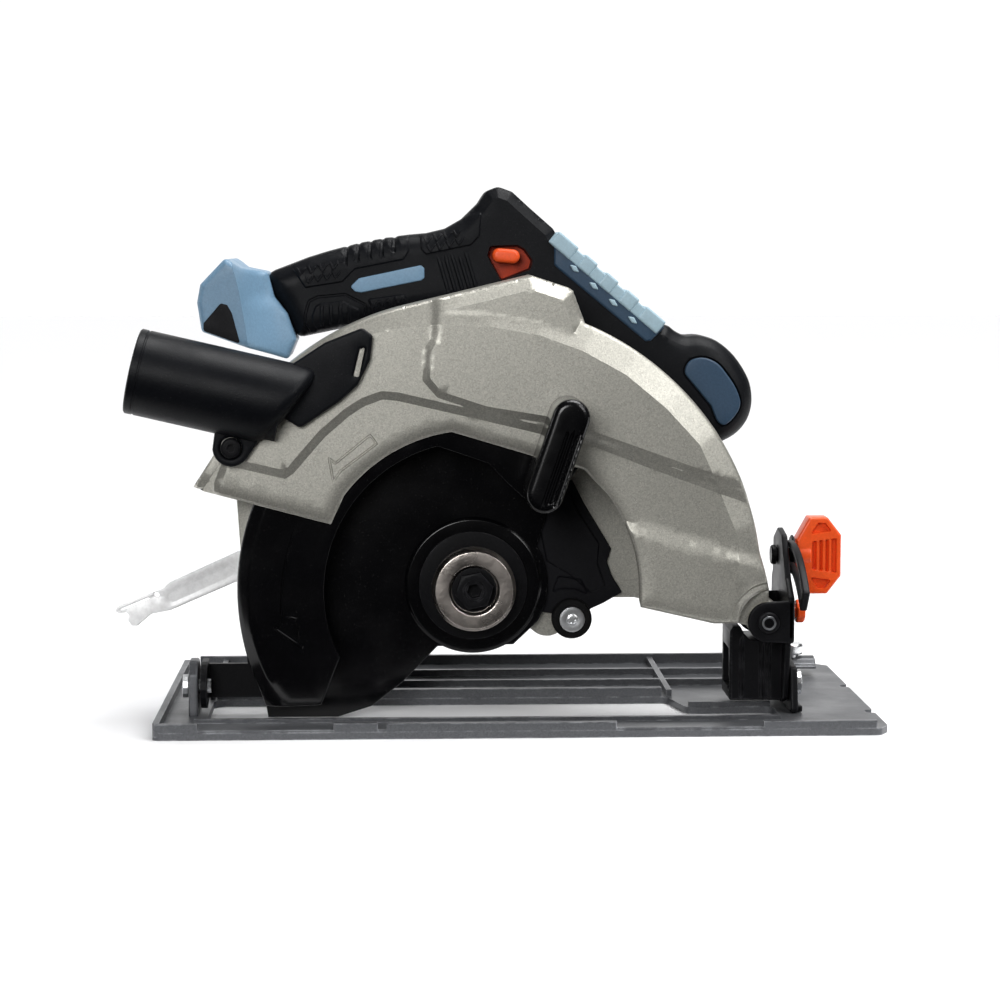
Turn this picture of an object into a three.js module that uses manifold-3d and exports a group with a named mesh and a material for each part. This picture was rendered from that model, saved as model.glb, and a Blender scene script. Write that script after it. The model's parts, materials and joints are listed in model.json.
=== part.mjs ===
// Cordless circular saw, right-hand blade side, shown without blade and battery.
// Millimetres. +X is the front of the saw, +Y the motor side, +Z up.
// The origin is the centre of the shoe's footprint, on the sole.

import * as THREE from "three";
import { mergeVertices } from "three/addons/utils/BufferGeometryUtils.js";
import Module from "manifold-3d";

const wasm = await Module();
wasm.setup();

// ---------------------------------------------------------------- driving dimensions

const GAP = 0.3; // clearance between pieces that touch
const SHOE = { length: 300, width: 166, plate: 3, rim: 6.4 };
const ARBOR = [-19, 56.5]; // blade axis, along Y, as [x, z]
const MOTOR = [-7, 80.7]; // motor axis, along Y, 27 mm from the arbor
const DEPTH_PIVOT = [103, 43]; // depth setting turns about this axis, along Y
const BEVEL_AXIS = [-35, 14]; // bevel setting turns about this axis, along X, as [y, z]
const DEPTH_CLAMP = [-106, 58]; // clamp bolt of the depth setting, as [x, z]
const BEVEL_CLAMP = [-22, 67]; // clamp stud of the bevel setting, as [y, z]
const BLADE_Y = -45; // middle plane of the blade
const GUARD = { near: -64, far: -28, wall: 3, outerR: 121, innerR: 117, openingR: 67 };
const LOWER = { near: -57.3, far: -34.3, wall: 2.2, outerR: 98, ringR: 62, hubR: 31.5, boreR: 19.4 };
const NOSE_R = 19; // journal on the bearing cover that the lower guard turns on
const GEAR = { module: 1, wheelTeeth: 43, pinionTeeth: 11, shift: 0.36, thinning: 0.22, near: -22, far: -13 };
const HANDLE = { half: 16.5, bevel: 2, wall: 3 };
const FOOT_HALF = 37; // half of the battery foot's width
const DUST = { rear: [-157.5, 148.3], y: -63, outerR: 17.5, innerR: 15.3, length: 74, tilt: 13 };
const DUST_SCREW = [-118, 117]; // screw that holds the dust port's ear, as [x, z]
const FENCE_SCREW = [130, 51]; // thumb screw of the fence channel, as [x, y]
const PIN = { radius: 3, bore: 3.4 }; // pins of the bevel and depth settings

// ---------------------------------------------------------------- finishes

const FINISHES = {
  guard_paint: { color: 0xa5a398, roughness: 0.45, metalness: 0.55 },
  shoe_paint: { color: 0x5d6066, roughness: 0.45, metalness: 0.6 },
  black_plastic: { color: 0x1b1c1f, roughness: 0.6, metalness: 0 },
  gloss_black: { color: 0x0c0c10, roughness: 0.18, metalness: 0 },
  matte_black: { color: 0x232428, roughness: 0.75, metalness: 0 },
  black_steel: { color: 0x121214, roughness: 0.35, metalness: 0.7 },
  steel_blue: { color: 0x6f97b5, roughness: 0.5, metalness: 0 },
  deep_blue: { color: 0x32506a, roughness: 0.55, metalness: 0 },
  ice_blue: { color: 0xafcddc, roughness: 0.5, metalness: 0 },
  orange: { color: 0xf05a28, roughness: 0.4, metalness: 0 },
  nickel: { color: 0xb8aea4, roughness: 0.3, metalness: 1 },
  zinc: { color: 0xd6dadd, roughness: 0.25, metalness: 1 },
  steel: { color: 0x8a8d92, roughness: 0.35, metalness: 1 },
  rubber: { color: 0x151515, roughness: 0.9, metalness: 0 },
  copper: { color: 0xb5693a, roughness: 0.4, metalness: 0.8 },
};

// ---------------------------------------------------------------- geometry helpers

const radians = (degrees) => (degrees * Math.PI) / 180;

/** Point at radius r and angle degrees round centre, in the plane of the centre's two axes. */
const polar = (centre, r, degrees) => [
  centre[0] + r * Math.cos(radians(degrees)),
  centre[1] + r * Math.sin(radians(degrees)),
];

/** Points along an arc, both ends included. */
function arc(centre, r, from, to, steps = 12) {
  const points = [];
  for (let i = 0; i <= steps; i += 1) {
    points.push(polar(centre, r, from + ((to - from) * i) / steps));
  }
  return points;
}

/** The outline of a strap: a straight bar with round ends. */
function strap(a, b, halfWidth, steps = 6) {
  const heading = (Math.atan2(b[1] - a[1], b[0] - a[0]) * 180) / Math.PI;
  return [
    ...arc(b, halfWidth, heading - 90, heading + 90, steps),
    ...arc(a, halfWidth, heading + 90, heading + 270, steps),
  ];
}

/** A closed three.js geometry as a manifold solid. */
function solid(geometry) {
  const bare = geometry.clone();
  bare.deleteAttribute("normal");
  bare.deleteAttribute("uv");
  const merged = mergeVertices(bare, 1e-4);
  const mesh = new wasm.Mesh({
    numProp: 3,
    vertProperties: Float32Array.from(merged.attributes.position.array),
    triVerts: Uint32Array.from(merged.index.array),
  });
  return new wasm.Manifold(mesh);
}

/** A manifold solid as a three.js geometry. */
function geometryOf(manifold) {
  const mesh = manifold.getMesh();
  const geometry = new THREE.BufferGeometry();
  geometry.setAttribute("position", new THREE.BufferAttribute(mesh.vertProperties, 3));
  geometry.setIndex(new THREE.BufferAttribute(mesh.triVerts, 1));
  geometry.computeVertexNormals();
  return geometry;
}

const all = (pieces) => pieces.reduce((sum, piece) => sum.add(piece));
const cut = (body, tools) => tools.reduce((left, tool) => left.subtract(tool), body);

/** An outline extruded by depth along local +Z, with an optional bevel that eats into the outline. */
function extruded(points, depth, bevel = 0) {
  const shape = new THREE.Shape(points.map(([x, y]) => new THREE.Vector2(x, y)));
  const options = { depth, bevelEnabled: false };
  if (bevel > 0) {
    options.depth = depth - 2 * bevel;
    options.bevelEnabled = true;
    options.bevelThickness = bevel;
    options.bevelSize = bevel;
    options.bevelOffset = -bevel;
    options.bevelSegments = 1;
  }
  const geometry = new THREE.ExtrudeGeometry(shape, options);
  return bevel > 0 ? geometry.translate(0, 0, bevel) : geometry;
}

/** A plate whose outline is in X and Z, from y0 to y1. */
function plateXZ(points, y0, y1, bevel = 0) {
  return solid(extruded(points, y1 - y0, bevel).rotateX(Math.PI / 2).translate(0, y1, 0));
}

/** A plate whose outline is in Y and Z, from x0 to x1. */
function plateYZ(points, x0, x1) {
  const turn = new THREE.Matrix4().makeBasis(
    new THREE.Vector3(0, 1, 0),
    new THREE.Vector3(0, 0, 1),
    new THREE.Vector3(1, 0, 0),
  );
  return solid(extruded(points, x1 - x0).applyMatrix4(turn).translate(x0, 0, 0));
}

/** A plate whose outline is in X and Y, from z0 to z1. */
const plateXY = (points, z0, z1) => solid(extruded(points, z1 - z0).translate(0, 0, z0));

function box(x0, x1, y0, y1, z0, z1) {
  const geometry = new THREE.BoxGeometry(x1 - x0, y1 - y0, z1 - z0);
  return solid(geometry.translate((x0 + x1) / 2, (y0 + y1) / 2, (z0 + z1) / 2));
}

/** How many facets a round bar of radius r gets. */
const facets = (r) => 2 * Math.round(4 + r * 0.4);

/** A round bar along Y about the axis [x, z]. */
function rodY([x, z], r, y0, y1) {
  return solid(new THREE.CylinderGeometry(r, r, y1 - y0, facets(r)).translate(x, (y0 + y1) / 2, z));
}

/** A round bar along X about the axis [y, z]. */
function rodX([y, z], r, x0, x1) {
  const geometry = new THREE.CylinderGeometry(r, r, x1 - x0, facets(r)).rotateZ(Math.PI / 2);
  return solid(geometry.translate((x0 + x1) / 2, y, z));
}

/** A round bar along Z about the axis [x, y]. */
function rodZ([x, y], r, z0, z1) {
  const geometry = new THREE.CylinderGeometry(r, r, z1 - z0, facets(r)).rotateX(Math.PI / 2);
  return solid(geometry.translate(x, y, (z0 + z1) / 2));
}

/** A ring along Y about the axis [x, z]. */
const ringY = (axis, outer, inner, y0, y1) =>
  rodY(axis, outer, y0, y1).subtract(rodY(axis, inner, y0 - 1, y1 + 1));

const saw = new THREE.Group();

/** Adds one named piece with its own material. */
function piece(name, manifold, finish) {
  const material = new THREE.MeshStandardMaterial({ name: finish, ...FINISHES[finish] });
  const mesh = new THREE.Mesh(geometryOf(manifold), material);
  mesh.name = name;
  saw.add(mesh);
}

// ---------------------------------------------------------------- shoe and bevel setting

/** The cast base plate, with the blade slot, rims, ribs, fence channel and rear bevel ear. */
function shoe() {
  const halfLength = SHOE.length / 2;
  const halfWidth = SHOE.width / 2;
  const plan = [
    [-halfLength, -halfWidth + 2],
    [-halfLength + 2, -halfWidth],
    [halfLength - 4, -halfWidth],
    [halfLength, -halfWidth + 7],
    [halfLength, halfWidth - 12],
    [halfLength - 12, halfWidth],
    [-halfLength + 8, halfWidth],
    [-halfLength, halfWidth - 8],
  ];
  const bladeSlot = [
    [-130, -60],
    [109, -60],
    [109, -33],
    [72, -33],
    [66, -8],
    [-126, -8],
    [-130, -12],
  ];
  const body = all([
    plateXY(plan, 0, SHOE.plate),
    box(-148, 143, -83, -79.4, 1, 5.4), // near rim
    box(-149, -103, -83, -79.4, 1, SHOE.rim),
    box(-49, 38, -83, -79.4, 1, SHOE.rim),
    box(94, 122, -83, -79.4, 1, SHOE.rim),
    box(-141, 138, 79.4, 83, 1, 7.5), // far rim
    box(-150, -146.5, -80, 74, 1, 7), // rear rim
    box(-130, 64, -7.9, -4, 1, 7), // long rib beside the slot
    box(-122, 108, 20, 22.5, 1, 6),
    box(-122, 108, 48, 50.5, 1, 6),
    box(-132, -129.5, -7.9, 80, 1, 6), // cross ribs
    box(66, 68.5, -7, 80, 1, 6),
    box(-134.6, 109, -62.4, -60.1, 1, 5),
    box(119.5, 122, -80, 80, 1, 6.4), // fence channel walls
    box(138, 140.5, -80, 80, 1, 6.4),
    box(119.5, 140.5, 44, 58, 1, 10.5), // fence screw bridge
    box(-138.2, -134.4, -44, -26, 1, 25.5), // rear bevel ear
  ]);
  return cut(body, [
    plateXY(bladeSlot, -1, 12),
    box(122.5, 137.5, -90, 90, 3.1, 6.1), // fence guide runs through here
    rodX(BEVEL_AXIS, PIN.bore, -142, -130),
    rodZ(FENCE_SCREW, 3.3, 2.5, 12),
    box(146, 152, -48, -42, -1, 8), // sight notches in the front edge
    box(146, 152, 14, 18, -1, 8),
    box(-102.5, -99, -84, -79, 4.2, 8),
  ]);
}

/** The fixed quarter plate that the bevel clamp slides round. */
function bevelQuadrant() {
  const plate = plateYZ(
    [
      ...arc(BEVEL_AXIS, 65, 42, 133, 14),
      ...arc(BEVEL_AXIS, 46, 133, 62, 10),
      [-12, 40],
      [-22, 24],
      [-46, 22],
      [-50, 5],
      [-50, 3.3],
      [10, 3.3],
      [12, 30],
    ],
    114.3,
    117.3,
  );
  const foot = box(116.5, 119.3, -48, 8, 3.3, 6);
  const slotMiddle = Math.hypot(BEVEL_CLAMP[0] - BEVEL_AXIS[0], BEVEL_CLAMP[1] - BEVEL_AXIS[1]);
  const slotOuter = arc(BEVEL_AXIS, slotMiddle + 3.5, 70, 130, 12);
  const slotInner = arc(BEVEL_AXIS, slotMiddle - 3.5, 130, 70, 12);
  const slot = plateYZ([...slotOuter, ...slotInner], 113, 119);
  return cut(plate.add(foot), [slot, rodX(BEVEL_AXIS, PIN.bore, 112, 120)]);
}

/** A pan-head pin along X from its head at x0 to its end at x1. */
const pinX = (axis, r, headR, x0, x1, headLength) => {
  const headEnd = x1 > x0 ? x0 + headLength : x0 - headLength;
  const shank = rodX(axis, r, Math.min(x0, x1), Math.max(x0, x1));
  return shank.add(rodX(axis, headR, Math.min(x0, headEnd), Math.max(x0, headEnd)));
};

/** The tilting front bracket: a cross plate with two ears round the depth pivot and a lower block. */
function frontBracket() {
  const cross = plateYZ(
    [
      [-58, 34],
      [-58, 53],
      [-48, 60],
      [-36, 77],
      [-24, 79],
      [-13, 74],
      [-12, 60],
      [-14, 8],
      [-26, 6],
      [-35, 5.5],
      [-44, 8],
      [-47, 22],
      [-50, 34],
    ],
    111.4,
    114,
  );
  const ear = [...arc(DEPTH_PIVOT, 9, 90, 270, 10), [112, 34], [112, 52]];
  const block = box(92, 112, -40, -14, 7, 33);
  const body = all([cross, plateXZ(ear, -58, -55.5), plateXZ(ear, -26.7, -24.4), block]);
  return cut(body, [
    rodX(BEVEL_AXIS, PIN.bore, 90, 116),
    rodX(BEVEL_CLAMP, 3.3, 110, 116),
    rodY(DEPTH_PIVOT, PIN.bore, -60, -20),
    box(88, 100, -36, -18, 12, 29), // hollow of the lower block
  ]);
}

const depthPivotPin = () =>
  all([rodY(DEPTH_PIVOT, PIN.radius, -59.8, -22.4), rodY(DEPTH_PIVOT, 5, -60.8, -58.4)]);

const bevelWasher = () =>
  rodX(BEVEL_CLAMP, 8.4, 117.6, 118.7).subtract(rodX(BEVEL_CLAMP, 3.3, 110, 120));

/** The curved plate that the depth clamp slides along, with its rear bevel flange. */
function depthArc() {
  const radius = Math.hypot(DEPTH_CLAMP[0] - DEPTH_PIVOT[0], DEPTH_CLAMP[1] - DEPTH_PIVOT[1]);
  const band = plateXZ(
    [
      ...arc(DEPTH_PIVOT, radius + 9, 155, 188, 12),
      [-131, 8],
      [-131, 7.4],
      [-97, 7.4],
      ...arc(DEPTH_PIVOT, radius - 9, 188, 155, 12),
    ],
    -26.6,
    -24.2,
  );
  const slotOuter = arc(DEPTH_PIVOT, radius + PIN.bore, 159, 189.5, 12);
  const slotInner = arc(DEPTH_PIVOT, radius - PIN.bore, 189.5, 159, 12);
  const slot = plateXZ([...slotOuter, ...slotInner], -28, -23);
  const flange = plateYZ(
    [...arc(BEVEL_AXIS, 9.4, 100, 262, 8), [-24.2, 7.4], [-24.2, 24], [-33, 24]],
    -133.4,
    -130.8,
  );
  return cut(all([band, flange, box(-131.5, -108, -26.6, -24.2, 7.4, 22)]), [
    slot,
    rodX(BEVEL_AXIS, PIN.bore, -136, -128),
  ]);
}

/** The octagonal wing knob of the bevel clamp, with a ribbed face. */
function bevelKnob() {
  const wing = [];
  for (let i = 0; i < 8; i += 1) {
    const corner = polar([0, 0], 1, 22.5 + 45 * i);
    wing.push([BEVEL_CLAMP[0] + corner[0] * 9, BEVEL_CLAMP[1] + corner[1] * 17.2]);
  }
  const head = plateYZ(wing, 127, 138.6);
  const ribs = [];
  for (let i = -3; i <= 3; i += 1) {
    const z = BEVEL_CLAMP[1] + i * 3.4;
    ribs.push(box(128.5, 137.2, BEVEL_CLAMP[0] - 10, BEVEL_CLAMP[0] - 7.6, z - 0.8, z + 0.8));
  }
  const neck = rodX(BEVEL_CLAMP, 6.2, 119, 128);
  return cut(all([head, neck]), [rodX(BEVEL_CLAMP, 3.2, 117, 133), ...ribs]);
}

// ---------------------------------------------------------------- upper guard and gear housing

const GUARD_TOP = [
  ...arc(ARBOR, GUARD.outerR, 142, 105, 8),
  [-49, 175.4],
  [-14.6, 184],
  [8, 186],
  [21.4, 180.6],
  [26.4, 167],
  ...arc(ARBOR, 119.5, 66, 8, 12),
];

/** The near wall's lower boundary, from rear to front, closed far below. */
const GUARD_FACE_EDGE = [
  [-200, 119],
  [-135.5, 100.3],
  [-78, 85],
  ...arc(ARBOR, GUARD.openingR, 143, 98, 8),
  [7.8, 112],
  [26, 107],
  ...arc(ARBOR, 68, 36, -3, 6),
  [49.6, 50],
  [97.6, 39],
  [120, 34],
  [130, -40],
  [-200, -40],
];

/** The far wall's lower boundary reaches down to the gear housing and the depth clamp. */
const GUARD_BACK_EDGE = [
  [-200, 119],
  [-135.5, 100.3],
  [-118.5, 95.8],
  [-116, 58],
  ...arc(DEPTH_CLAMP, 10, 180, 350, 8),
  [-88, 82],
  [-55, 72],
  ...arc(ARBOR, 25.8, 185, 318, 10),
  [34, 50],
  [49.6, 50],
  [97.6, 39],
  [120, 34],
  [130, -40],
  [-200, -40],
];

/** The dust tube's body or bore as a solid, grown by extra. */
function dustTube(radius, from, to) {
  const tube = new THREE.CylinderGeometry(radius, radius, to - from, 26);
  tube.translate(0, (from + to) / 2, 0).rotateZ(-Math.PI / 2).rotateY(radians(DUST.tilt));
  return solid(tube.translate(DUST.rear[0], DUST.y, DUST.rear[1]));
}

/** Everything below the guard's sloping front end. */
const GUARD_FRONT_TRIM = [[60, 47.6], [97.6, 39], [140, 29.4], [140, -60], [60, -60]];

/** The blade housing: a bevelled shell, open below, with its boss for the depth pivot. */
function upperGuard() {
  const outline = [[-165, 52], ...GUARD_TOP, [104, 52], [104, 30], [90, 0], [-120, 0]];
  const inner = [
    [-190, 40],
    [-131.5, 100],
    [-116.5, 121.5],
    ...arc(ARBOR, GUARD.innerR, 142, 105, 8),
    [-49, 171.3],
    [-14.6, 179.8],
    [6.5, 181.8],
    [18, 177.5],
    [22.5, 164],
    ...arc(ARBOR, 115.3, 66, 8, 12),
    [100, 52],
    [100, 20],
    [90, -20],
    [-160, -20],
  ];
  const shell = plateXZ(outline, GUARD.near, GUARD.far + 6, 5).subtract(
    box(-210, 150, GUARD.far, GUARD.far + 20, -60, 220),
  );
  const rearTrim = [[-210, 122], [-118, 95.7], [-118, -60], [-210, -60]];
  const frontTrim = plateXZ(GUARD_FRONT_TRIM, GUARD.near - 2, GUARD.far + 2);
  const body = cut(shell, [
    plateXZ(inner, GUARD.near + GUARD.wall, GUARD.far - GUARD.wall),
    plateXZ(GUARD_FACE_EDGE, GUARD.near - 2, GUARD.near + GUARD.wall + 0.1),
    plateXZ(GUARD_BACK_EDGE, GUARD.far - GUARD.wall - 0.1, GUARD.far + 2),
    plateXZ(rearTrim, GUARD.near - 2, GUARD.far + 2),
    frontTrim,
  ]);
  const pivotBoss = rodY(DEPTH_PIVOT, 7.8, GUARD.near + 9, GUARD.far - 2.5).subtract(frontTrim);
  return cut(body.add(pivotBoss), [
    rodY(DEPTH_PIVOT, 12.5, GUARD.near - 2, -54.9),
    box(80, 120, -90, -54.9, 10, 43),
    rodY(DEPTH_PIVOT, 12.5, -27.3, GUARD.far + 3),
    rodY(DEPTH_PIVOT, PIN.bore, -70, -20),
    rodY(ARBOR, 18.4, GUARD.far - 4, GUARD.far + 2),
    rodY(DEPTH_CLAMP, PIN.bore, GUARD.far - 4, GUARD.far + 2),
    rodY(DUST_SCREW, 2.6, GUARD.near - 4, GUARD.near + 4),
    dustTube(DUST.outerR + GAP, -5, DUST.length + GAP),
    box(-112, -90, -50, -40, 112, 138),
    box(110.4, 130, -70, -20, 20, 90),
  ]);
}

/** The flat black plate behind the blade, with the journal for the lower guard. */
function bearingCover() {
  const flap = [
    [22.5, 101.2],
    [28, 90.6],
    [37.4, 74.9],
    [39.5, 71.4],
    [37.8, 65.5],
    [40, 59.5],
    [44.3, 52.6],
    [32.8, 46.6],
    [26, 37],
    [12, 36],
    [0, 32],
    [-19, 34],
    [-36, 60],
    [-19, 100],
    [6, 99],
  ];
  const body = all([
    plateXZ(flap, -33.4, -31.3),
    rodY(ARBOR, 25.6, -33.4, -31.3),
    rodY(ARBOR, NOSE_R, -37.4, -32),
    rodY(ARBOR, 18, -32, -26.2),
  ]);
  return cut(body, [rodY(ARBOR, 7, -40, -20), rodY(ARBOR, 14.3, -35.6, -20)]);
}

/** The cast housing of the two gears, with the handle's arm and the spindle lock's bore. */
function gearHousing() {
  const lobes = [...arc(ARBOR, 25.5, 153, 333, 16), ...arc(MOTOR, 24, -26, 154, 12)];
  const handleArm = [[-40, 92], [-36, 148], [14, 158], [56, 128], [60, 100], [32, 84]];
  const body = all([
    plateXZ(lobes, -27.7, -9.6),
    plateXZ(handleArm, -27.7, -17.2),
    rodY(MOTOR, 37, -16, -2),
    rodY(ARBOR, 11, -10, -2),
    rodY([12, 42], 8.5, -27.7, -20),
    plateXZ([[-2, 44], [10, 34], [17, 48], [14, 62], [2, 64]], -27.7, -20),
  ]);
  return cut(body, [
    rodY(ARBOR, 23, -28, -12.4),
    rodY(MOTOR, 8.2, -28, -12.4),
    rodY(MOTOR, 33.5, -8.5, 0),
    rodY(MOTOR, 5, -14, -1),
    rodY(MOTOR, 8.3, -11.6, -1),
    rodY(ARBOR, 7, -14, -6),
    rodY(ARBOR, 9.3, -8.6, -1),
    rodY(LOCK_PIN, 2.7, -14, -8),
  ]);
}

// ---------------------------------------------------------------- gears, spindle and motor

const involute = (angle) => Math.tan(angle) - angle;

/** The outline of a spur gear with involute flanks, one tooth centred on angle zero. */
function gearOutline(teeth, shift) {
  const pressure = radians(20);
  const pitchR = (GEAR.module * teeth) / 2;
  const baseR = pitchR * Math.cos(pressure);
  const rootR = pitchR - (1.25 - shift) * GEAR.module;
  const tipR = pitchR + (1 + shift) * GEAR.module;
  const thickness = GEAR.module * (Math.PI / 2 + 2 * shift * Math.tan(pressure)) - GEAR.thinning;
  const halfAt = (r) => {
    const flank = r > baseR ? involute(Math.acos(baseR / r)) : 0;
    return thickness / (2 * pitchR) + involute(pressure) - flank;
  };
  const start = Math.max(rootR, baseR);
  const radii = [rootR, (start + tipR) / 2, tipR];
  const outline = [];
  for (let tooth = 0; tooth < teeth; tooth += 1) {
    const middle = (tooth * 2 * Math.PI) / teeth;
    const flank = radii.map((r) => [r, halfAt(Math.max(r, start))]);
    flank.forEach(([r, half]) => outline.push([r, middle - half]));
    flank.reverse().forEach(([r, half]) => outline.push([r, middle + half]));
  }
  return outline;
}

/** A gear about the axis [x, z], turned by phase radians. */
function gear(axis, teeth, shift, phase, y0, y1) {
  const points = gearOutline(teeth, shift).map(([r, angle]) => [
    axis[0] + r * Math.cos(angle + phase),
    axis[1] + r * Math.sin(angle + phase),
  ]);
  return plateXZ(points, y0, y1);
}

const CENTRE_LINE = Math.atan2(MOTOR[1] - ARBOR[1], MOTOR[0] - ARBOR[0]);
const LOCK_RADIUS = 15.5;
const LOCK_ANGLE = -118;
const LOCK_PIN = polar(ARBOR, LOCK_RADIUS, LOCK_ANGLE);

/** The wheel has a gap on the line of centres, where the pinion has a tooth. */
function outputGear() {
  const halfTooth = Math.PI / GEAR.wheelTeeth;
  const wheel = gear(ARBOR, GEAR.wheelTeeth, -GEAR.shift, CENTRE_LINE + halfTooth, GEAR.near, GEAR.far);
  const lockHoles = [0, 90, 180, 270].map((turn) =>
    rodY(polar(ARBOR, LOCK_RADIUS, LOCK_ANGLE + turn), 2.9, GEAR.far - 3.5, GEAR.far + 1),
  );
  return cut(wheel, [rodY(ARBOR, 6.3, -30, -5), ...lockHoles]);
}

function rotorShaft() {
  const pinion = gear(MOTOR, GEAR.pinionTeeth, GEAR.shift, CENTRE_LINE + Math.PI, -23, -13);
  return all([pinion, rodY(MOTOR, 4, -23, 73)]);
}

/** The output shaft with its gear shoulder, bored for the blade bolt. */
const spindle = () =>
  rodY(ARBOR, 6, BLADE_Y - 0.8, -2.4)
    .add(rodY(ARBOR, 9, -26, -22.3))
    .subtract(rodY(ARBOR, 4.3, -50, -30));

/** The blade sits on this flange's face, centred by its short collar. */
function innerFlange() {
  const body = all([
    rodY(ARBOR, 17, BLADE_Y + 1, -41.2),
    rodY(ARBOR, 10, BLADE_Y + 1, -38.8),
    rodY(ARBOR, 7.9, BLADE_Y - 1.1, -40),
  ]);
  return body.subtract(rodY(ARBOR, 6.3, -50, -30));
}

function outerFlange() {
  const body = all([rodY(ARBOR, 17.5, -52, BLADE_Y - 1.5), rodY(ARBOR, 16, -54.5, BLADE_Y - 1.5)]);
  return cut(body, [rodY(ARBOR, 10, -60, -50), rodY(ARBOR, 4.6, -60, -40)]);
}

/** Hex head with a hex socket, and a shank that screws into the spindle. */
function bladeBolt() {
  const hexagon = (r, turn) => Array.from({ length: 6 }, (_, i) => polar(ARBOR, r, turn + 60 * i));
  const head = plateXZ(hexagon(8.1, 12), -56.5, -51.6);
  const washer = rodY(ARBOR, 9.2, -51.8, -50.3);
  const body = all([head, washer, rodY(ARBOR, 4, -50.6, -34)]);
  return body.subtract(plateXZ(hexagon(2.9, 12), -58, -52.5));
}

/** The motor's can, with air slots round its lower side. */
function motorHousing() {
  const body = rodY(MOTOR, 36.5, -1.6, 72);
  const vents = [];
  for (let i = 0; i < 6; i += 1) {
    const angle = 200 + i * 28;
    const [x, z] = polar(MOTOR, 36, angle);
    vents.push(box(-2.2, 2.2, 54, 68, -6, 6).rotate([0, 90 - angle, 0]).translate([x, 0, z]));
  }
  return cut(body, [rodY(MOTOR, 32.6, -3, 69), rodY(MOTOR, 8.4, 60, 80), ...vents]);
}

/** The domed end cap of the motor, with a grille of level slots. */
function motorCap() {
  const dome = new THREE.LatheGeometry(
    [
      new THREE.Vector2(0, 0),
      new THREE.Vector2(36.5, 0),
      new THREE.Vector2(36.5, 5),
      new THREE.Vector2(33, 9),
      new THREE.Vector2(26, 10.7),
      new THREE.Vector2(0, 10.7),
    ],
    40,
  );
  const body = solid(dome.translate(MOTOR[0], 72.3, MOTOR[1]));
  const slots = [];
  for (let i = -3; i <= 3; i += 1) {
    const halfWidth = Math.sqrt(24 * 24 - i * i * 49);
    const z = MOTOR[1] + i * 7;
    slots.push(box(MOTOR[0] - halfWidth, MOTOR[0] + halfWidth, 70, 85, z - 1.6, z + 1.6));
  }
  return cut(body, [rodY(MOTOR, 30, 71, 79), ...slots]);
}

/** The wound stator: a ring with twelve slots inside. */
function stator() {
  const slots = [];
  for (let i = 0; i < 12; i += 1) {
    slots.push(box(-2.4, 2.4, 15, 55, 17.2, 26).rotate([0, 30 * i, 0]).translate([MOTOR[0], 0, MOTOR[1]]));
  }
  return cut(ringY(MOTOR, 32, 15.8, 20, 50), slots);
}

/** The cooling fan behind the pinion. */
function fan() {
  const hub = ringY(MOTOR, 10, 4.3, 4, 14);
  const blades = [];
  for (let i = 0; i < 9; i += 1) {
    blades.push(box(-0.9, 0.9, 5.5, 14, 8, 29).rotate([0, 40 * i, 0]).translate([MOTOR[0], 0, MOTOR[1]]));
  }
  return all([hub, ringY(MOTOR, 29.5, 9, 4, 5.8), ...blades]).subtract(rodY(MOTOR, 4.3, 0, 20));
}

// ---------------------------------------------------------------- lower guard

/** The far wall reaches from the hub to the rim and down to the guard's foot. */
const LOWER_BACK = [
  ...arc(ARBOR, LOWER.outerR, 54, 205, 20),
  [-105.5, 0.6],
  [-76, 0.6],
  [-62, 5],
  [-49, 15],
  [-34, 30.4],
  [-2, 31],
  ...arc(ARBOR, LOWER.hubR, -30, 32, 6),
  [16, 97],
];

/** The near wall is an annulus that widens inwards under the guard lever. */
const LOWER_FRONT = [
  ...arc(ARBOR, LOWER.outerR, 54, 205, 20),
  [-105.5, 8.5],
  [-82.5, 9.5],
  [-77.6, 22],
  ...arc(ARBOR, LOWER.ringR, 206, 104, 14),
  [-13, 109.5],
  [1, 95.5],
  [8, 91.5],
  [15, 95],
  [24, 108],
];

/** The retracting guard: two walls joined by a rim, turning on the bearing cover's journal. */
function lowerGuard() {
  const rimOuter = [...arc(ARBOR, LOWER.outerR, 54, 205, 20), [-105.5, 0.6]];
  const rimInner = [[-102.6, 0.6], ...arc(ARBOR, LOWER.outerR - 2.6, 206, 54, 20)];
  const rim = plateXZ([...rimOuter, ...rimInner], LOWER.near + 1, LOWER.far - 1);
  const body = all([
    rim,
    plateXZ(LOWER_BACK, LOWER.far - LOWER.wall, LOWER.far),
    plateXZ(LOWER_FRONT, LOWER.near, LOWER.near + LOWER.wall),
    rodY(ARBOR, 27, -37.2, -33.8),
  ]);
  return cut(body, [rodY(ARBOR, LOWER.boreR, -60, -20), rodY(ARBOR, 24.6, -35.8, -30)]);
}

const LEVER = { base: [8, 100], top: [18.5, 130.5], near: -94 };

/** A paddle that stands out past the upper guard's face, on a stem through its opening. */
function guardLever() {
  const paddle = plateXZ(strap(LEVER.base, LEVER.top, 7.6, 10), LEVER.near, -66.2, 2.5);
  const stem = plateXZ(strap([6.5, 97.5], [8.5, 103], 5), -67, LOWER.near - GAP);
  return paddle.add(stem);
}

/** A flat spiral of round wire between the journal and the lower guard's hub. */
function guardSpring() {
  class Spiral extends THREE.Curve {
    getPoint(t, target = new THREE.Vector3()) {
      const angle = t * 3 * Math.PI;
      const r = 20.6 + 2.6 * t;
      return target.set(ARBOR[0] + r * Math.cos(angle), -34.75, ARBOR[1] + r * Math.sin(angle));
    }
  }
  const wire = new THREE.Shape(arc([0, 0], 0.6, 0, 270, 3).map(([x, y]) => new THREE.Vector2(x, y)));
  return solid(new THREE.ExtrudeGeometry(wire, { steps: 30, extrudePath: new Spiral() }));
}

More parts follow.
